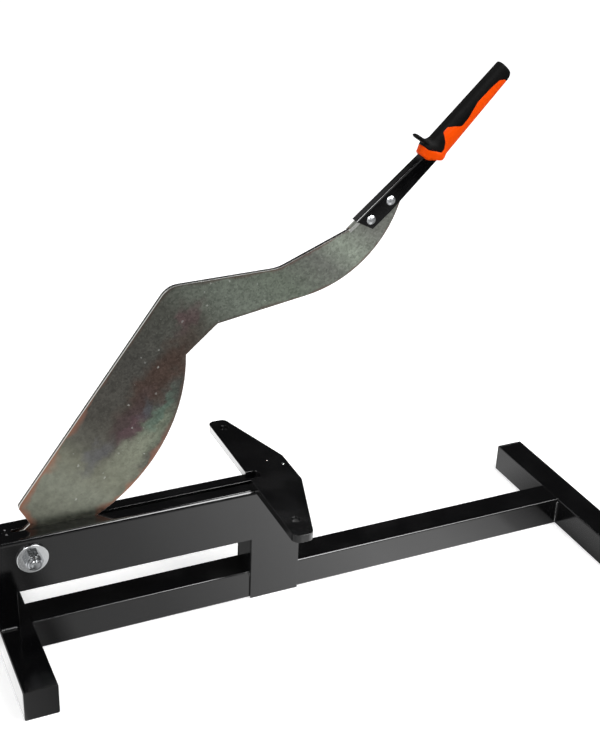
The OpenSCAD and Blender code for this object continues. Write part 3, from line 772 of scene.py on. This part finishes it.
@dataclass
class FencePlate(SubAssembly):
    """The thick plate that stands across the beam, with two painted highlight domes on top."""

    edge_mm: float = 1.6
    edge_steps: int = 4
    glint_domes_mm: tuple[tuple[float, float, float], ...] = ((-40.6, 10.4, 1.5), (-56.0, 25.0, 0.6))
    glint_dome_rise: float = 0.35
    glint_dome_sides: int = 20
    glint_dome_rings: int = 12
    glint_dome_from_deg: float = 60.0

    def build(self) -> None:
        """Makes the plate with its edges eased by the paint, and the painted highlight domes."""
        self.part("fence_plate", "painted_fence_plate", PAINT, Slot.PAINT, self.edge_mm,
                  self.edge_steps)
        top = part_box("fence_plate")[1].z
        shape = bmesh.new()
        # two small flattened domes; their bright zinc is a painted highlight where the black paint
        # glints
        for x, y, radius in self.glint_domes_mm:
            ball = bmesh.ops.create_uvsphere(shape, u_segments=self.glint_dome_sides,
                                             v_segments=self.glint_dome_rings,
                                             radius=radius * MM)["verts"]
            bmesh.ops.scale(shape, vec=(1.0, 1.0, self.glint_dome_rise), verts=ball)
            bmesh.ops.translate(shape, vec=(x * MM, y * MM, top), verts=ball)
        mesh = bpy.data.meshes.new("glint_dome_mesh")
        shape.to_mesh(mesh)
        shape.free()
        highlight_domes = softened(mesh, "painted_highlight_domes", 0.0, from_deg=self.glint_dome_from_deg)
        dress(highlight_domes, ZINC, self.body)


@dataclass
class WeldSeams(SubAssembly):
    """Painted weld beads, each a row of overlapping ripples, and the small tacks."""

    ripple_mm: float = 2.0
    core_share: float = 0.84
    squash: float = 0.62
    least_length_mm: float = 10.0
    least_share: tuple[float, float] = (0.9, 0.85)
    sides: int = 20
    drop_rings: int = 12
    ripple_from_deg: float = 60.0
    tack_from_deg: float = 50.0
    seed: int = 7

    def build(self) -> None:
        """Makes the ripples along the long beads and keeps the tacks as they are."""
        islands = self.islands()
        tree = self.ripple_tree()
        whole = bmesh.new()
        for number, (low, high, mean) in enumerate(islands):
            size = high - low
            axis = max(range(3), key=lambda i: size[i])
            if size[axis] < self.least_length_mm * MM:
                continue
            leg = min(size)
            corner = Vector(low[i] if mean[i] > (low[i] + high[i]) / 2 else high[i]
                            for i in range(3))
            start, stop = corner.copy(), corner.copy()
            start[axis], stop[axis] = low[axis] + leg * 0.5, high[axis] - leg * 0.5
            bead = grown(tree, {"Start": start, "End": stop, "Radius": leg,
                                "Pitch": self.ripple_mm * MM, "Core share": self.core_share,
                                "Seed": self.seed + number})
            whole.from_mesh(bead)
        mesh = bpy.data.meshes.new("weld_ripples")
        whole.to_mesh(mesh)
        whole.free()
        ripples = softened(mesh, "painted_weld_ripples", 0.0, from_deg=self.ripple_from_deg)
        dress(ripples, PAINT, self.body)
        tacks = softened(self.small_ones(), "painted_weld_beads", 0.0,
                         from_deg=self.tack_from_deg)
        dress(tacks, PAINT, self.body, ["weld_beads"])

    def islands(self) -> list[tuple[Vector, Vector, Vector]]:
        """Gives each bead's lowest and highest corner and its points' mean."""
        shape = bmesh.new()
        shape.from_mesh(merged_copy("weld_beads"))
        found = []
        for group in loose_groups(shape):
            points = [vert.co.copy() for vert in group]
            low = Vector(min(p[i] for p in points) for i in range(3))
            high = Vector(max(p[i] for p in points) for i in range(3))
            found.append((low, high, sum(points, Vector()) / len(points)))
        shape.free()
        return found

    def small_ones(self) -> bpy.types.Mesh:
        """Gives a copy of the beads that are too short for ripples."""
        shape = bmesh.new()
        shape.from_mesh(merged_copy("weld_beads"))
        for group in loose_groups(shape):
            spans = [max(v.co[i] for v in group) - min(v.co[i] for v in group) for i in range(3)]
            if max(spans) >= self.least_length_mm * MM:
                bmesh.ops.delete(shape, geom=group, context="VERTS")
        mesh = bpy.data.meshes.new("weld_tacks")
        shape.to_mesh(mesh)
        shape.free()
        return mesh

    def ripple_tree(self) -> bpy.types.NodeTree:
        """Makes the nodes that lay flattened drops along a line, over a round core.

        Returns:
            The tree, with the inputs Start, End, Radius, Pitch, Core share and Seed.
        """
        tree = new_tree("weld_ripple_row", {
            "Start": "NodeSocketVector", "End": "NodeSocketVector", "Radius": "NodeSocketFloat",
            "Pitch": "NodeSocketFloat", "Core share": "NodeSocketFloat", "Seed": "NodeSocketInt"})
        given = add_node(tree, "NodeGroupInput").outputs
        line = add_node(tree, "GeometryNodeMeshLine",
                        {"mode": "END_POINTS", "count_mode": "RESOLUTION"},
                        {"Resolution": given["Pitch"], "Start Location": given["Start"],
                         "Offset": given["End"]})
        drop = add_node(tree, "GeometryNodeMeshUVSphere", {}, {
            "Segments": self.sides, "Rings": self.drop_rings, "Radius": given["Radius"]})
        way = add_node(tree, "ShaderNodeVectorMath", {"operation": "SUBTRACT"}, {
            0: given["End"], 1: given["Start"]})
        aim = add_node(tree, "FunctionNodeAlignRotationToVector", {"axis": "Z"}, {
            "Vector": way.outputs["Vector"]})
        wide, thick = self.least_share
        sizes = add_node(tree, "FunctionNodeRandomValue", {"data_type": "FLOAT_VECTOR"}, {
            0: (wide, wide, self.squash * thick), 1: (1.0, 1.0, self.squash),
            "Seed": given["Seed"]})
        row = add_node(tree, "GeometryNodeInstanceOnPoints", {}, {
            "Points": line.outputs["Mesh"], "Instance": drop.outputs["Mesh"],
            "Rotation": aim.outputs["Rotation"], "Scale": sizes.outputs[0]})
        path = add_node(tree, "GeometryNodeCurvePrimitiveLine", {}, {
            "Start": given["Start"], "End": given["End"]})
        inner = add_node(tree, "ShaderNodeMath", {"operation": "MULTIPLY"}, {
            0: given["Radius"], 1: given["Core share"]})
        ring = add_node(tree, "GeometryNodeCurvePrimitiveCircle", {}, {
            "Resolution": self.sides, "Radius": inner.outputs[0]})
        core = add_node(tree, "GeometryNodeCurveToMesh", {}, {
            "Curve": path.outputs["Curve"], "Profile Curve": ring.outputs["Curve"],
            "Fill Caps": True})
        finish_tree(tree, [row.outputs["Instances"], core.outputs["Mesh"]], PAINT)
        return tree


@dataclass
class PivotJoint(SubAssembly):
    """Bolt, washers, nut, spacers and thrust washers at the blade's pivot."""

    thread_pitch_mm: float = 1.75
    thread_depth_mm: float = 0.9
    dome_mm: float = 1.1
    dome_share: float = 0.97
    overlap_mm: float = 0.2
    round_sides: int = 40
    crest_sides: int = 8
    crest_squash: float = 0.7
    dome_rings: int = 16
    edge_steps: int = 3
    washer_edge_mm: float = 0.4
    fastener_edge_mm: float = 0.35
    fastener_from_deg: float = 32.0
    thread_from_deg: float = 35.0
    insert_edge_mm: float = 0.3
    thrust_edge_mm: float = 0.2

    def build(self) -> None:
        """Makes the fastener and what it clamps."""
        for node in ("head_washer", "nut_washer", "front_spacer", "back_spacer"):
            self.part(node, "plated_" + node, ZINC, Slot.BRIGHT_ZINC, self.washer_edge_mm,
                      self.edge_steps)
        self.threaded_bolt()
        self.part("pivot_nut", "plated_pivot_nut", FASTENER_ZINC, Slot.BRIGHT_ZINC,
                  self.fastener_edge_mm, self.edge_steps, self.fastener_from_deg)
        self.part("nut_insert", "nylon_nut_insert", NYLON, Slot.NYLON, self.insert_edge_mm)
        for node in ("front_thrust_washer", "back_thrust_washer"):
            self.part(node, "turned_" + node, BRONZE, Slot.BRONZE, self.thrust_edge_mm)

    def threaded_bolt(self) -> None:
        """Makes the bolt, with thread crests on the end that stands out of the nut."""
        low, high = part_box("pivot_bolt")
        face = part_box("pivot_nut")[0].y + self.thread_depth_mm * MM
        mesh = merged_copy("pivot_bolt")
        shape = bmesh.new()
        shape.from_mesh(mesh)
        everything = list(shape.verts) + list(shape.edges) + list(shape.faces)
        cut = bmesh.ops.bisect_plane(shape, geom=everything, plane_co=(0.0, face, 0.0),
                                     plane_no=(0.0, -1.0, 0.0), clear_outer=True, dist=CUT_M)
        rim = [part for part in cut["geom_cut"] if isinstance(part, bmesh.types.BMEdge)]
        radius = max((v.co.x for e in rim for v in e.verts)) - (low.x + high.x) / 2
        bmesh.ops.edgeloop_fill(shape, edges=rim)
        bmesh.ops.recalc_face_normals(shape, faces=shape.faces)
        shape.to_mesh(mesh)
        shape.free()
        bolt = softened(mesh, "plated_pivot_bolt", self.fastener_edge_mm, self.edge_steps,
                        self.fastener_from_deg)
        dress(bolt, FASTENER_ZINC, self.body, ["pivot_bolt"])
        middle = Vector(((low.x + high.x) / 2, 0.0, (low.z + high.z) / 2))
        thread = grown(self.thread_tree(), {
            "Start": middle + Vector((0.0, face + self.overlap_mm * MM, 0.0)),
            "End": middle + Vector((0.0, low.y + self.dome_mm * MM, 0.0)),
            "Radius": radius, "Pitch": self.thread_pitch_mm * MM,
            "Depth": self.thread_depth_mm * MM,
            "Dome": self.dome_mm * MM})
        end = softened(thread, "rolled_bolt_thread", 0.0, from_deg=self.thread_from_deg)
        dress(end, FASTENER_ZINC, self.body)

    def thread_tree(self) -> bpy.types.NodeTree:
        """Makes the nodes that lay thread crests over a core with a rounded end.

        Each crest is a closed ring, one to a pitch, where the real thread is a helix.

        Returns:
            The tree, with the inputs Start, End, Radius, Pitch, Depth and Dome.
        """
        tree = new_tree("rolled_thread", {
            "Start": "NodeSocketVector", "End": "NodeSocketVector", "Radius": "NodeSocketFloat",
            "Pitch": "NodeSocketFloat", "Depth": "NodeSocketFloat", "Dome": "NodeSocketFloat"})
        given = add_node(tree, "NodeGroupInput").outputs
        root = add_node(tree, "ShaderNodeMath", {"operation": "SUBTRACT"}, {
            0: given["Radius"], 1: given["Depth"]}).outputs[0]
        path = add_node(tree, "GeometryNodeCurvePrimitiveLine", {}, {
            "Start": given["Start"], "End": given["End"]}).outputs["Curve"]
        round_core = add_node(tree, "GeometryNodeCurvePrimitiveCircle", {}, {
            "Resolution": self.round_sides, "Radius": root})
        core = add_node(tree, "GeometryNodeCurveToMesh", {}, {
            "Curve": path, "Profile Curve": round_core.outputs["Curve"], "Fill Caps": True})
        section = add_node(tree, "GeometryNodeCurvePrimitiveCircle", {}, {
            "Resolution": self.crest_sides, "Radius": given["Depth"]})
        turn = add_node(tree, "GeometryNodeCurvePrimitiveCircle", {}, {
            "Resolution": self.round_sides, "Radius": root})
        crest = add_node(tree, "GeometryNodeCurveToMesh", {}, {
            "Curve": turn.outputs["Curve"], "Profile Curve": section.outputs["Curve"]})
        way = add_node(tree, "ShaderNodeVectorMath", {"operation": "SUBTRACT"}, {
            0: given["End"], 1: given["Start"]}).outputs["Vector"]
        aim = add_node(tree, "FunctionNodeAlignRotationToVector", {"axis": "Z"}, {
            "Vector": way}).outputs["Rotation"]
        line = add_node(tree, "GeometryNodeMeshLine",
                        {"mode": "END_POINTS", "count_mode": "RESOLUTION"},
                        {"Resolution": given["Pitch"], "Start Location": given["Start"],
                         "Offset": given["End"]})
        rows = add_node(tree, "GeometryNodeInstanceOnPoints", {}, {
            "Points": line.outputs["Mesh"], "Instance": crest.outputs["Mesh"],
            "Rotation": aim, "Scale": (1.0, 1.0, self.crest_squash)})
        inside = add_node(tree, "ShaderNodeMath", {"operation": "MULTIPLY"}, {
            0: root, 1: self.dome_share}).outputs[0]
        ball = add_node(tree, "GeometryNodeMeshUVSphere", {}, {
            "Segments": self.round_sides, "Rings": self.dome_rings, "Radius": inside})
        flat = add_node(tree, "ShaderNodeMath", {"operation": "DIVIDE"}, {
            0: given["Dome"], 1: inside}).outputs[0]
        flatten = add_node(tree, "ShaderNodeCombineXYZ", {}, {"X": 1.0, "Y": 1.0, "Z": flat})
        end_point = add_node(tree, "GeometryNodePoints", {}, {
            "Count": 1, "Position": given["End"]})
        dome = add_node(tree, "GeometryNodeInstanceOnPoints", {}, {
            "Points": end_point.outputs[0], "Instance": ball.outputs["Mesh"],
            "Rotation": aim, "Scale": flatten.outputs["Vector"]})
        finish_tree(tree, [core.outputs["Mesh"], rows.outputs["Instances"],
                           dome.outputs["Instances"]], FASTENER_ZINC)
        return tree


@dataclass
class CuttingBlade(SubAssembly):
    """The curved blade and the bush in its hub."""

    body: Body = Body.LEVER
    grid_mm: float = 6.0
    edge_mm: float = 0.45
    bush_edge_mm: float = 0.15
    sheet_half_mm: float = BLADE_HALF_MM
    side_normal: float = 0.3
    least_side_m: float = 1e-6
    lean_deg: float = 49.9

    def build(self) -> None:
        """Makes the blade with its rim attribute, and the bush."""
        mesh = merged_copy("blade")
        self.cut_into_grid(mesh)
        piece = softened(mesh, "passivated_blade", self.edge_mm)
        self.write_rim(piece.data)
        dress(piece, PASSIVATED, self.body, ["blade"])
        self.part("pivot_bush", "turned_pivot_bush", BRONZE, Slot.BRONZE, self.bush_edge_mm)

    def cut_into_grid(self, mesh: bpy.types.Mesh) -> None:
        """Cuts the blade's faces into small fields, so that an attribute can vary on them."""
        low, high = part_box("blade")
        step = self.grid_mm * MM
        cuts = []
        for axis in (0, 2):
            count = math.ceil((high[axis] - low[axis]) / step - 0.5)
            cuts += [(axis, low[axis] + (i + 0.5) * step) for i in range(count)]
        cut_across(mesh, cuts)

    def write_rim(self, mesh: bpy.types.Mesh) -> None:
        """Stores each point's distance from the sheet's outline as rim_mm, and along it as run_mm."""
        sides: list[tuple[Vector, Vector]] = []
        for face in mesh.polygons:
            ring = [mesh.vertices[i].co for i in face.vertices]
            reach = max(abs(co.y) for co in ring)
            if abs(face.normal.y) > self.side_normal or reach > self.sheet_half_mm * MM:
                continue
            for a, b in zip(ring, ring[1:] + ring[:1]):
                flat = (Vector((a.x, a.z)), Vector((b.x, b.z)))
                if (flat[0] - flat[1]).length > self.least_side_m and a.y < 0 and b.y < 0:
                    sides.append(flat)
        rims = mesh.attributes.new("rim_mm", "FLOAT", "POINT")
        runs = mesh.attributes.new("run_mm", "FLOAT", "POINT")
        forth = Vector((math.cos(math.radians(self.lean_deg)), 0.0,
                        math.sin(math.radians(self.lean_deg))))
        for i, vertex in enumerate(mesh.vertices):
            here = Vector((vertex.co.x, vertex.co.z))
            rims.data[i].value = min(self.distance(here, a, b) for a, b in sides) / MM
            runs.data[i].value = vertex.co.dot(forth) / MM

    @staticmethod
    def distance(point: Vector, a: Vector, b: Vector) -> float:
        """Gives a point's distance from the line between a and b, in the plane."""
        along = b - a
        share = max(0.0, min(1.0, (point - a).dot(along) / along.length_squared))
        return (point - a - along * share).length


@dataclass
class HandleArm(SubAssembly):
    """The folded sheet arm and its two rivets."""

    body: Body = Body.LEVER
    edge_mm: float = 0.35

    def build(self) -> None:
        """Makes the arm and the rivets."""
        self.part("handle_arm", "painted_handle_arm", PAINT, Slot.PAINT, self.edge_mm)
        self.part("arm_rivets", "plated_arm_rivets", RIVET_ZINC, Slot.BRIGHT_ZINC, 0.0)


@dataclass
class Grip(SubAssembly):
    """The two-part moulded grip with its small guard."""

    body: Body = Body.LEVER
    from_deg: float = 40.0

    def build(self) -> None:
        """Makes the orange core and the black cover."""
        self.part("grip_core", "moulded_grip_core", ORANGE, Slot.ORANGE, 0.0,
                  from_deg=self.from_deg)
        self.part("grip_cover", "moulded_grip_cover", RUBBER, Slot.RUBBER, 0.0,
                  from_deg=self.from_deg)


# Studio


@dataclass(frozen=True)
class Lamp:
    """A soft box: where it stands, what it faces, its size and its radiance.

    A lamp with shines False is seen in glossy surfaces only and lights nothing.
    """

    name: str
    at: tuple[float, float, float]
    to: tuple[float, float, float]
    size: tuple[float, float]
    radiance: float
    shines: bool = True


@dataclass
class Studio:
    """White paper floor, soft boxes, and the camera at the photograph's angle.

    What glossy surfaces mirror of the paper is a painted reflection: for glossy rays the
    paper is black and glows, with painted light behind and right in front, painted shade
    greyer to the left and near the rail, and dark past its front edge.
    """

    eye: tuple[float, float, float] = (-0.61354, -1.23595, 1.00448)
    right: tuple[float, float, float] = (0.9109, -0.41095, 0.03712)
    down: tuple[float, float, float] = (-0.1558, -0.42587, -0.89127)
    ahead: tuple[float, float, float] = (0.38207, 0.80608, -0.45195)
    focal_px: float = 1276.47
    floor_m: float = 14.0
    paper: str = "#efefef"
    paper_roughness: float = 0.9
    paper_glow: tuple[float, float] = (0.47, 0.64)
    glow_reach: tuple[float, float] = (0.5, 1.2)
    # painted reflection: how brightly the floor glows for glossy rays, by x; the high stops are
    # painted pools of light and the low stops are painted shadow of the feet and the rail
    painted_reflection_scale: float = 5.0
    painted_reflection_x: tuple[float, float] = (-0.5, 0.5)
    painted_reflection_front: tuple[tuple[float, float], ...] = (
        (-0.4125, 1.95), (-0.4085, 0.65), (-0.37, 0.45), (-0.345, 0.22), (-0.315, 0.85), (-0.20, 1.0),
        (-0.13, 1.35), (-0.03, 1.9), (0.10, 2.6), (0.20, 2.35), (0.30, 1.5), (0.315, 0.95),
        (0.35, 0.6), (0.372, 0.3))
    painted_reflection_near_back: tuple[tuple[float, float], ...] = (
        (-0.45, 1.5), (-0.32, 0.4), (-0.25, 0.15), (0.0, 0.2), (0.30, 0.36))
    painted_reflection_back: tuple[tuple[float, float], ...] = (
        (-0.45, 1.5), (-0.30, 2.6), (-0.18, 4.5), (-0.05, 2.6), (0.10, 1.4), (0.30, 1.1))
    back_slope: float = 0.265
    back_from: tuple[float, float] = (0.15, 0.23)
    painted_reflection_edge_y: tuple[float, float] = (-1.14, -1.06)
    far_front_y: tuple[float, float] = (-0.28, -0.42)
    behind_y: tuple[float, float] = (-0.01, 0.03)
    ceiling_tilt: float = 0.5
    ceiling_from: tuple[float, float] = (0.2, 0.45)
    ceiling_tone: float = 0.03
    world_light: float = 0.5
    sensor_mm: float = 36.0
    clip_m: tuple[float, float] = (0.05, 60.0)
    lamps: tuple[Lamp, ...] = (
        Lamp("overhead_soft_box", (0.72, -0.62, 1.75), (0.0, 0.0, 0.1), (1.3, 1.1), 5.2),
        Lamp("left_soft_box", (-1.25, -0.68, 1.83), (-0.1, 0.0, 0.3), (0.9, 0.9), 4.2),
        Lamp("overhead_gleam", (0.73, -0.63, 1.77), (0.0, 0.0, 0.1), (1.3, 1.1), 13.0, False),
        Lamp("left_gleam", (-1.27, -0.7, 1.85), (-0.1, 0.0, 0.3), (0.9, 0.9), 20.0, False),
        Lamp("back_gleam", (0.62, 0.72, 1.55), (-0.1, 0.0, 0.15), (0.7, 0.3), 14.0, False),
    )

    def build(self) -> None:
        """Makes the floor, the world, the lamps and the camera."""
        self.place_camera()
        self.lay_floor()
        self.hang_lamps()
        self.paint_world()
        bpy.context.scene.view_settings.view_transform = "Standard"

    def place_camera(self) -> None:
        """Creates the camera from the measured directions."""
        ahead = Vector(self.ahead).normalized()
        right = Vector(self.right)
        right = (right - ahead * right.dot(ahead)).normalized()
        down = ahead.cross(right).normalized()
        data = bpy.data.cameras.new("photo_camera")
        camera = bpy.data.objects.new("photo_camera", data)
        bpy.context.scene.collection.objects.link(camera)
        turn = Matrix((right, -down, -ahead)).transposed().to_4x4()
        camera.matrix_world = Matrix.Translation(self.eye) @ turn
        data.sensor_width = self.sensor_mm
        data.sensor_fit = "AUTO"
        data.lens = self.focal_px * data.sensor_width / PHOTO_H
        data.clip_start, data.clip_end = self.clip_m
        bpy.context.scene.camera = camera

    def lay_floor(self) -> None:
        """Lays a white paper floor that keeps the shadows."""
        mesh = bpy.data.meshes.new("white_paper_floor")
        h = self.floor_m / 2
        mesh.from_pydata([(-h, -h, 0), (h, -h, 0), (h, h, 0), (-h, h, 0)], [], [(0, 1, 2, 3)])
        floor = bpy.data.objects.new("white_paper_floor", mesh)
        bpy.context.scene.collection.objects.link(floor)
        made = bpy.data.materials.new("matt_white_paper")
        made.use_nodes = True
        tree = made.node_tree
        shader = tree.nodes["Principled BSDF"]
        shader.inputs["Roughness"].default_value = self.paper_roughness
        shader.inputs["Specular IOR Level"].default_value = 0.0
        shader.inputs["Emission Color"].default_value = (1.0, 1.0, 1.0, 1.0)
        path = add_node(tree, "ShaderNodeLightPath")
        glossy = path.outputs["Is Glossy Ray"]
        seen = add_node(tree, "ShaderNodeMath", {"operation": "MAXIMUM"}, {
            0: path.outputs["Is Camera Ray"], 1: path.outputs["Is Transmission Ray"]})
        place = add_node(tree, "ShaderNodeTexCoord").outputs["Object"]
        away = add_node(tree, "ShaderNodeVectorMath", {"operation": "LENGTH"}, {0: place})
        bright = add_node(tree, "ShaderNodeMapRange", {"interpolation_type": "SMOOTHSTEP"}, {
            "Value": away.outputs["Value"], "From Min": self.glow_reach[0],
            "From Max": self.glow_reach[1], "To Min": self.paper_glow[0],
            "To Max": self.paper_glow[1]})
        glow = add_node(tree, "ShaderNodeMath", {"operation": "MULTIPLY"}, {
            0: seen.outputs[0], 1: bright.outputs["Result"]})
        # glossy rays see the floor black with the painted reflection glowing on it; camera rays see
        # the even glow
        floor_emission = add_node(tree, "ShaderNodeMath", {"operation": "MULTIPLY_ADD"}, {
            0: glossy, 1: self.painted_reflection_tone(tree), 2: glow.outputs[0]})
        tree.links.new(floor_emission.outputs[0], shader.inputs["Emission Strength"])
        paper = add_node(tree, "ShaderNodeMix", {"data_type": "RGBA"}, {
            "Factor": glossy, 6: linear(self.paper), 7: (0.0, 0.0, 0.0, 1.0)})
        tree.links.new(paper.outputs[2], shader.inputs["Base Color"])
        mesh.materials.append(made)

    def painted_reflection_tone(self, tree: bpy.types.NodeTree) -> bpy.types.NodeSocket:
        """Makes the painted reflection that glossy surfaces mirror, from the place on the floor.

        Args:
            tree: The floor material's tree.

        Returns:
            The tone's socket.
        """
        place = add_node(tree, "ShaderNodeTexCoord").outputs["Object"]
        apart = add_node(tree, "ShaderNodeSeparateXYZ", {}, {"Vector": place})
        low, high = self.painted_reflection_x
        share = add_node(tree, "ShaderNodeMapRange", {}, {
            "Value": apart.outputs["X"], "From Min": low, "From Max": high}).outputs["Result"]
        ramps = [add_node(tree, "ShaderNodeValToRGB", {"ramp": [
            ((x - low) / (high - low), tone / self.painted_reflection_scale) for x, tone in stops]},
            {"Fac": share}).outputs["Color"]
            for stops in (self.painted_reflection_front, self.painted_reflection_near_back, self.painted_reflection_back)]
        far = add_node(tree, "ShaderNodeMapRange", {"interpolation_type": "SMOOTHSTEP"}, {
            "Value": apart.outputs["Y"], "From Min": self.far_front_y[0],
            "From Max": self.far_front_y[1]})
        front = add_node(tree, "ShaderNodeMix", {"data_type": "RGBA"}, {
            "Factor": far.outputs["Result"], 6: ramps[0],
            7: (1 / self.painted_reflection_scale,) * 3 + (1.0,)})
        behind = add_node(tree, "ShaderNodeMapRange", {}, {
            "Value": apart.outputs["Y"], "From Min": self.behind_y[0],
            "From Max": self.behind_y[1]})
        slanted = add_node(tree, "ShaderNodeMath", {"operation": "MULTIPLY_ADD"}, {
            0: apart.outputs["X"], 1: self.back_slope, 2: apart.outputs["Y"]})
        beyond = add_node(tree, "ShaderNodeMapRange", {}, {
            "Value": slanted.outputs[0], "From Min": self.back_from[0],
            "From Max": self.back_from[1]})
        back = add_node(tree, "ShaderNodeMix", {"data_type": "RGBA"}, {
            "Factor": beyond.outputs["Result"], 6: ramps[1], 7: ramps[2]})
        tone = add_node(tree, "ShaderNodeMix", {"data_type": "RGBA"}, {
            "Factor": behind.outputs["Result"], 6: front.outputs[2], 7: back.outputs[2]})
        edge = add_node(tree, "ShaderNodeMapRange", {}, {
            "Value": apart.outputs["Y"], "From Min": self.painted_reflection_edge_y[0],
            "From Max": self.painted_reflection_edge_y[1], "To Min": 0.0, "To Max": self.painted_reflection_scale})
        done = add_node(tree, "ShaderNodeMath", {"operation": "MULTIPLY"}, {
            0: tone.outputs[2], 1: edge.outputs["Result"]})
        return done.outputs[0]

    def hang_lamps(self) -> None:
        """Hangs the soft boxes."""
        for lamp in self.lamps:
            data = bpy.data.lights.new(lamp.name, "AREA")
            data.shape = "RECTANGLE"
            data.size, data.size_y = lamp.size
            data.energy = lamp.radiance * math.pi * lamp.size[0] * lamp.size[1]
            there = bpy.data.objects.new(lamp.name, data)
            bpy.context.scene.collection.objects.link(there)
            there.location = lamp.at
            aim = Vector(lamp.to) - Vector(lamp.at)
            there.rotation_mode = "QUATERNION"
            there.rotation_quaternion = aim.to_track_quat("-Z", "Y")
            there.visible_camera = False
            there.visible_diffuse = lamp.shines

    def paint_world(self) -> None:
        """Makes a world with a white horizon and, in glossy surfaces, a dark ceiling."""
        world = bpy.data.worlds.new("white_studio")
        bpy.context.scene.world = world
        world.use_nodes = True
        tree = world.node_tree
        back = tree.nodes["Background"]
        path = add_node(tree, "ShaderNodeLightPath")
        place = add_node(tree, "ShaderNodeTexCoord").outputs["Generated"]
        apart = add_node(tree, "ShaderNodeSeparateXYZ", {}, {"Vector": place}).outputs
        height = add_node(tree, "ShaderNodeMath", {"operation": "MULTIPLY_ADD"}, {
            0: apart["X"], 1: self.ceiling_tilt, 2: apart["Z"]})
        mirrored = add_node(tree, "ShaderNodeMapRange", {"interpolation_type": "SMOOTHSTEP"}, {
            "Value": height.outputs[0], "From Min": self.ceiling_from[0],
            "From Max": self.ceiling_from[1], "To Min": 1.0, "To Max": self.ceiling_tone})
        shown = add_node(tree, "ShaderNodeMath", {"operation": "MAXIMUM"}, {
            0: path.outputs["Is Camera Ray"], 1: path.outputs["Is Transmission Ray"]})
        glossy = add_node(tree, "ShaderNodeMix", {"data_type": "FLOAT"}, {
            "Factor": path.outputs["Is Glossy Ray"], 2: self.world_light,
            3: mirrored.outputs["Result"]})
        strength = add_node(tree, "ShaderNodeMix", {"data_type": "FLOAT"}, {
            "Factor": shown.outputs[0], 2: glossy.outputs[0], 3: 1.0})
        back.inputs["Color"].default_value = (1.0, 1.0, 1.0, 1.0)
        tree.links.new(strength.outputs[0], back.inputs["Strength"])


def main() -> None:
    """Builds the studio and every sub-assembly."""
    logging.basicConfig(level=logging.INFO, format="%(name)s: %(message)s")
    Studio().build()
    for group in (WeldedBase(), FencePlate(), WeldSeams(), PivotJoint(), CuttingBlade(),
                  HandleArm(), Grip()):
        group.build()


if __name__ == "__main__":
    main()
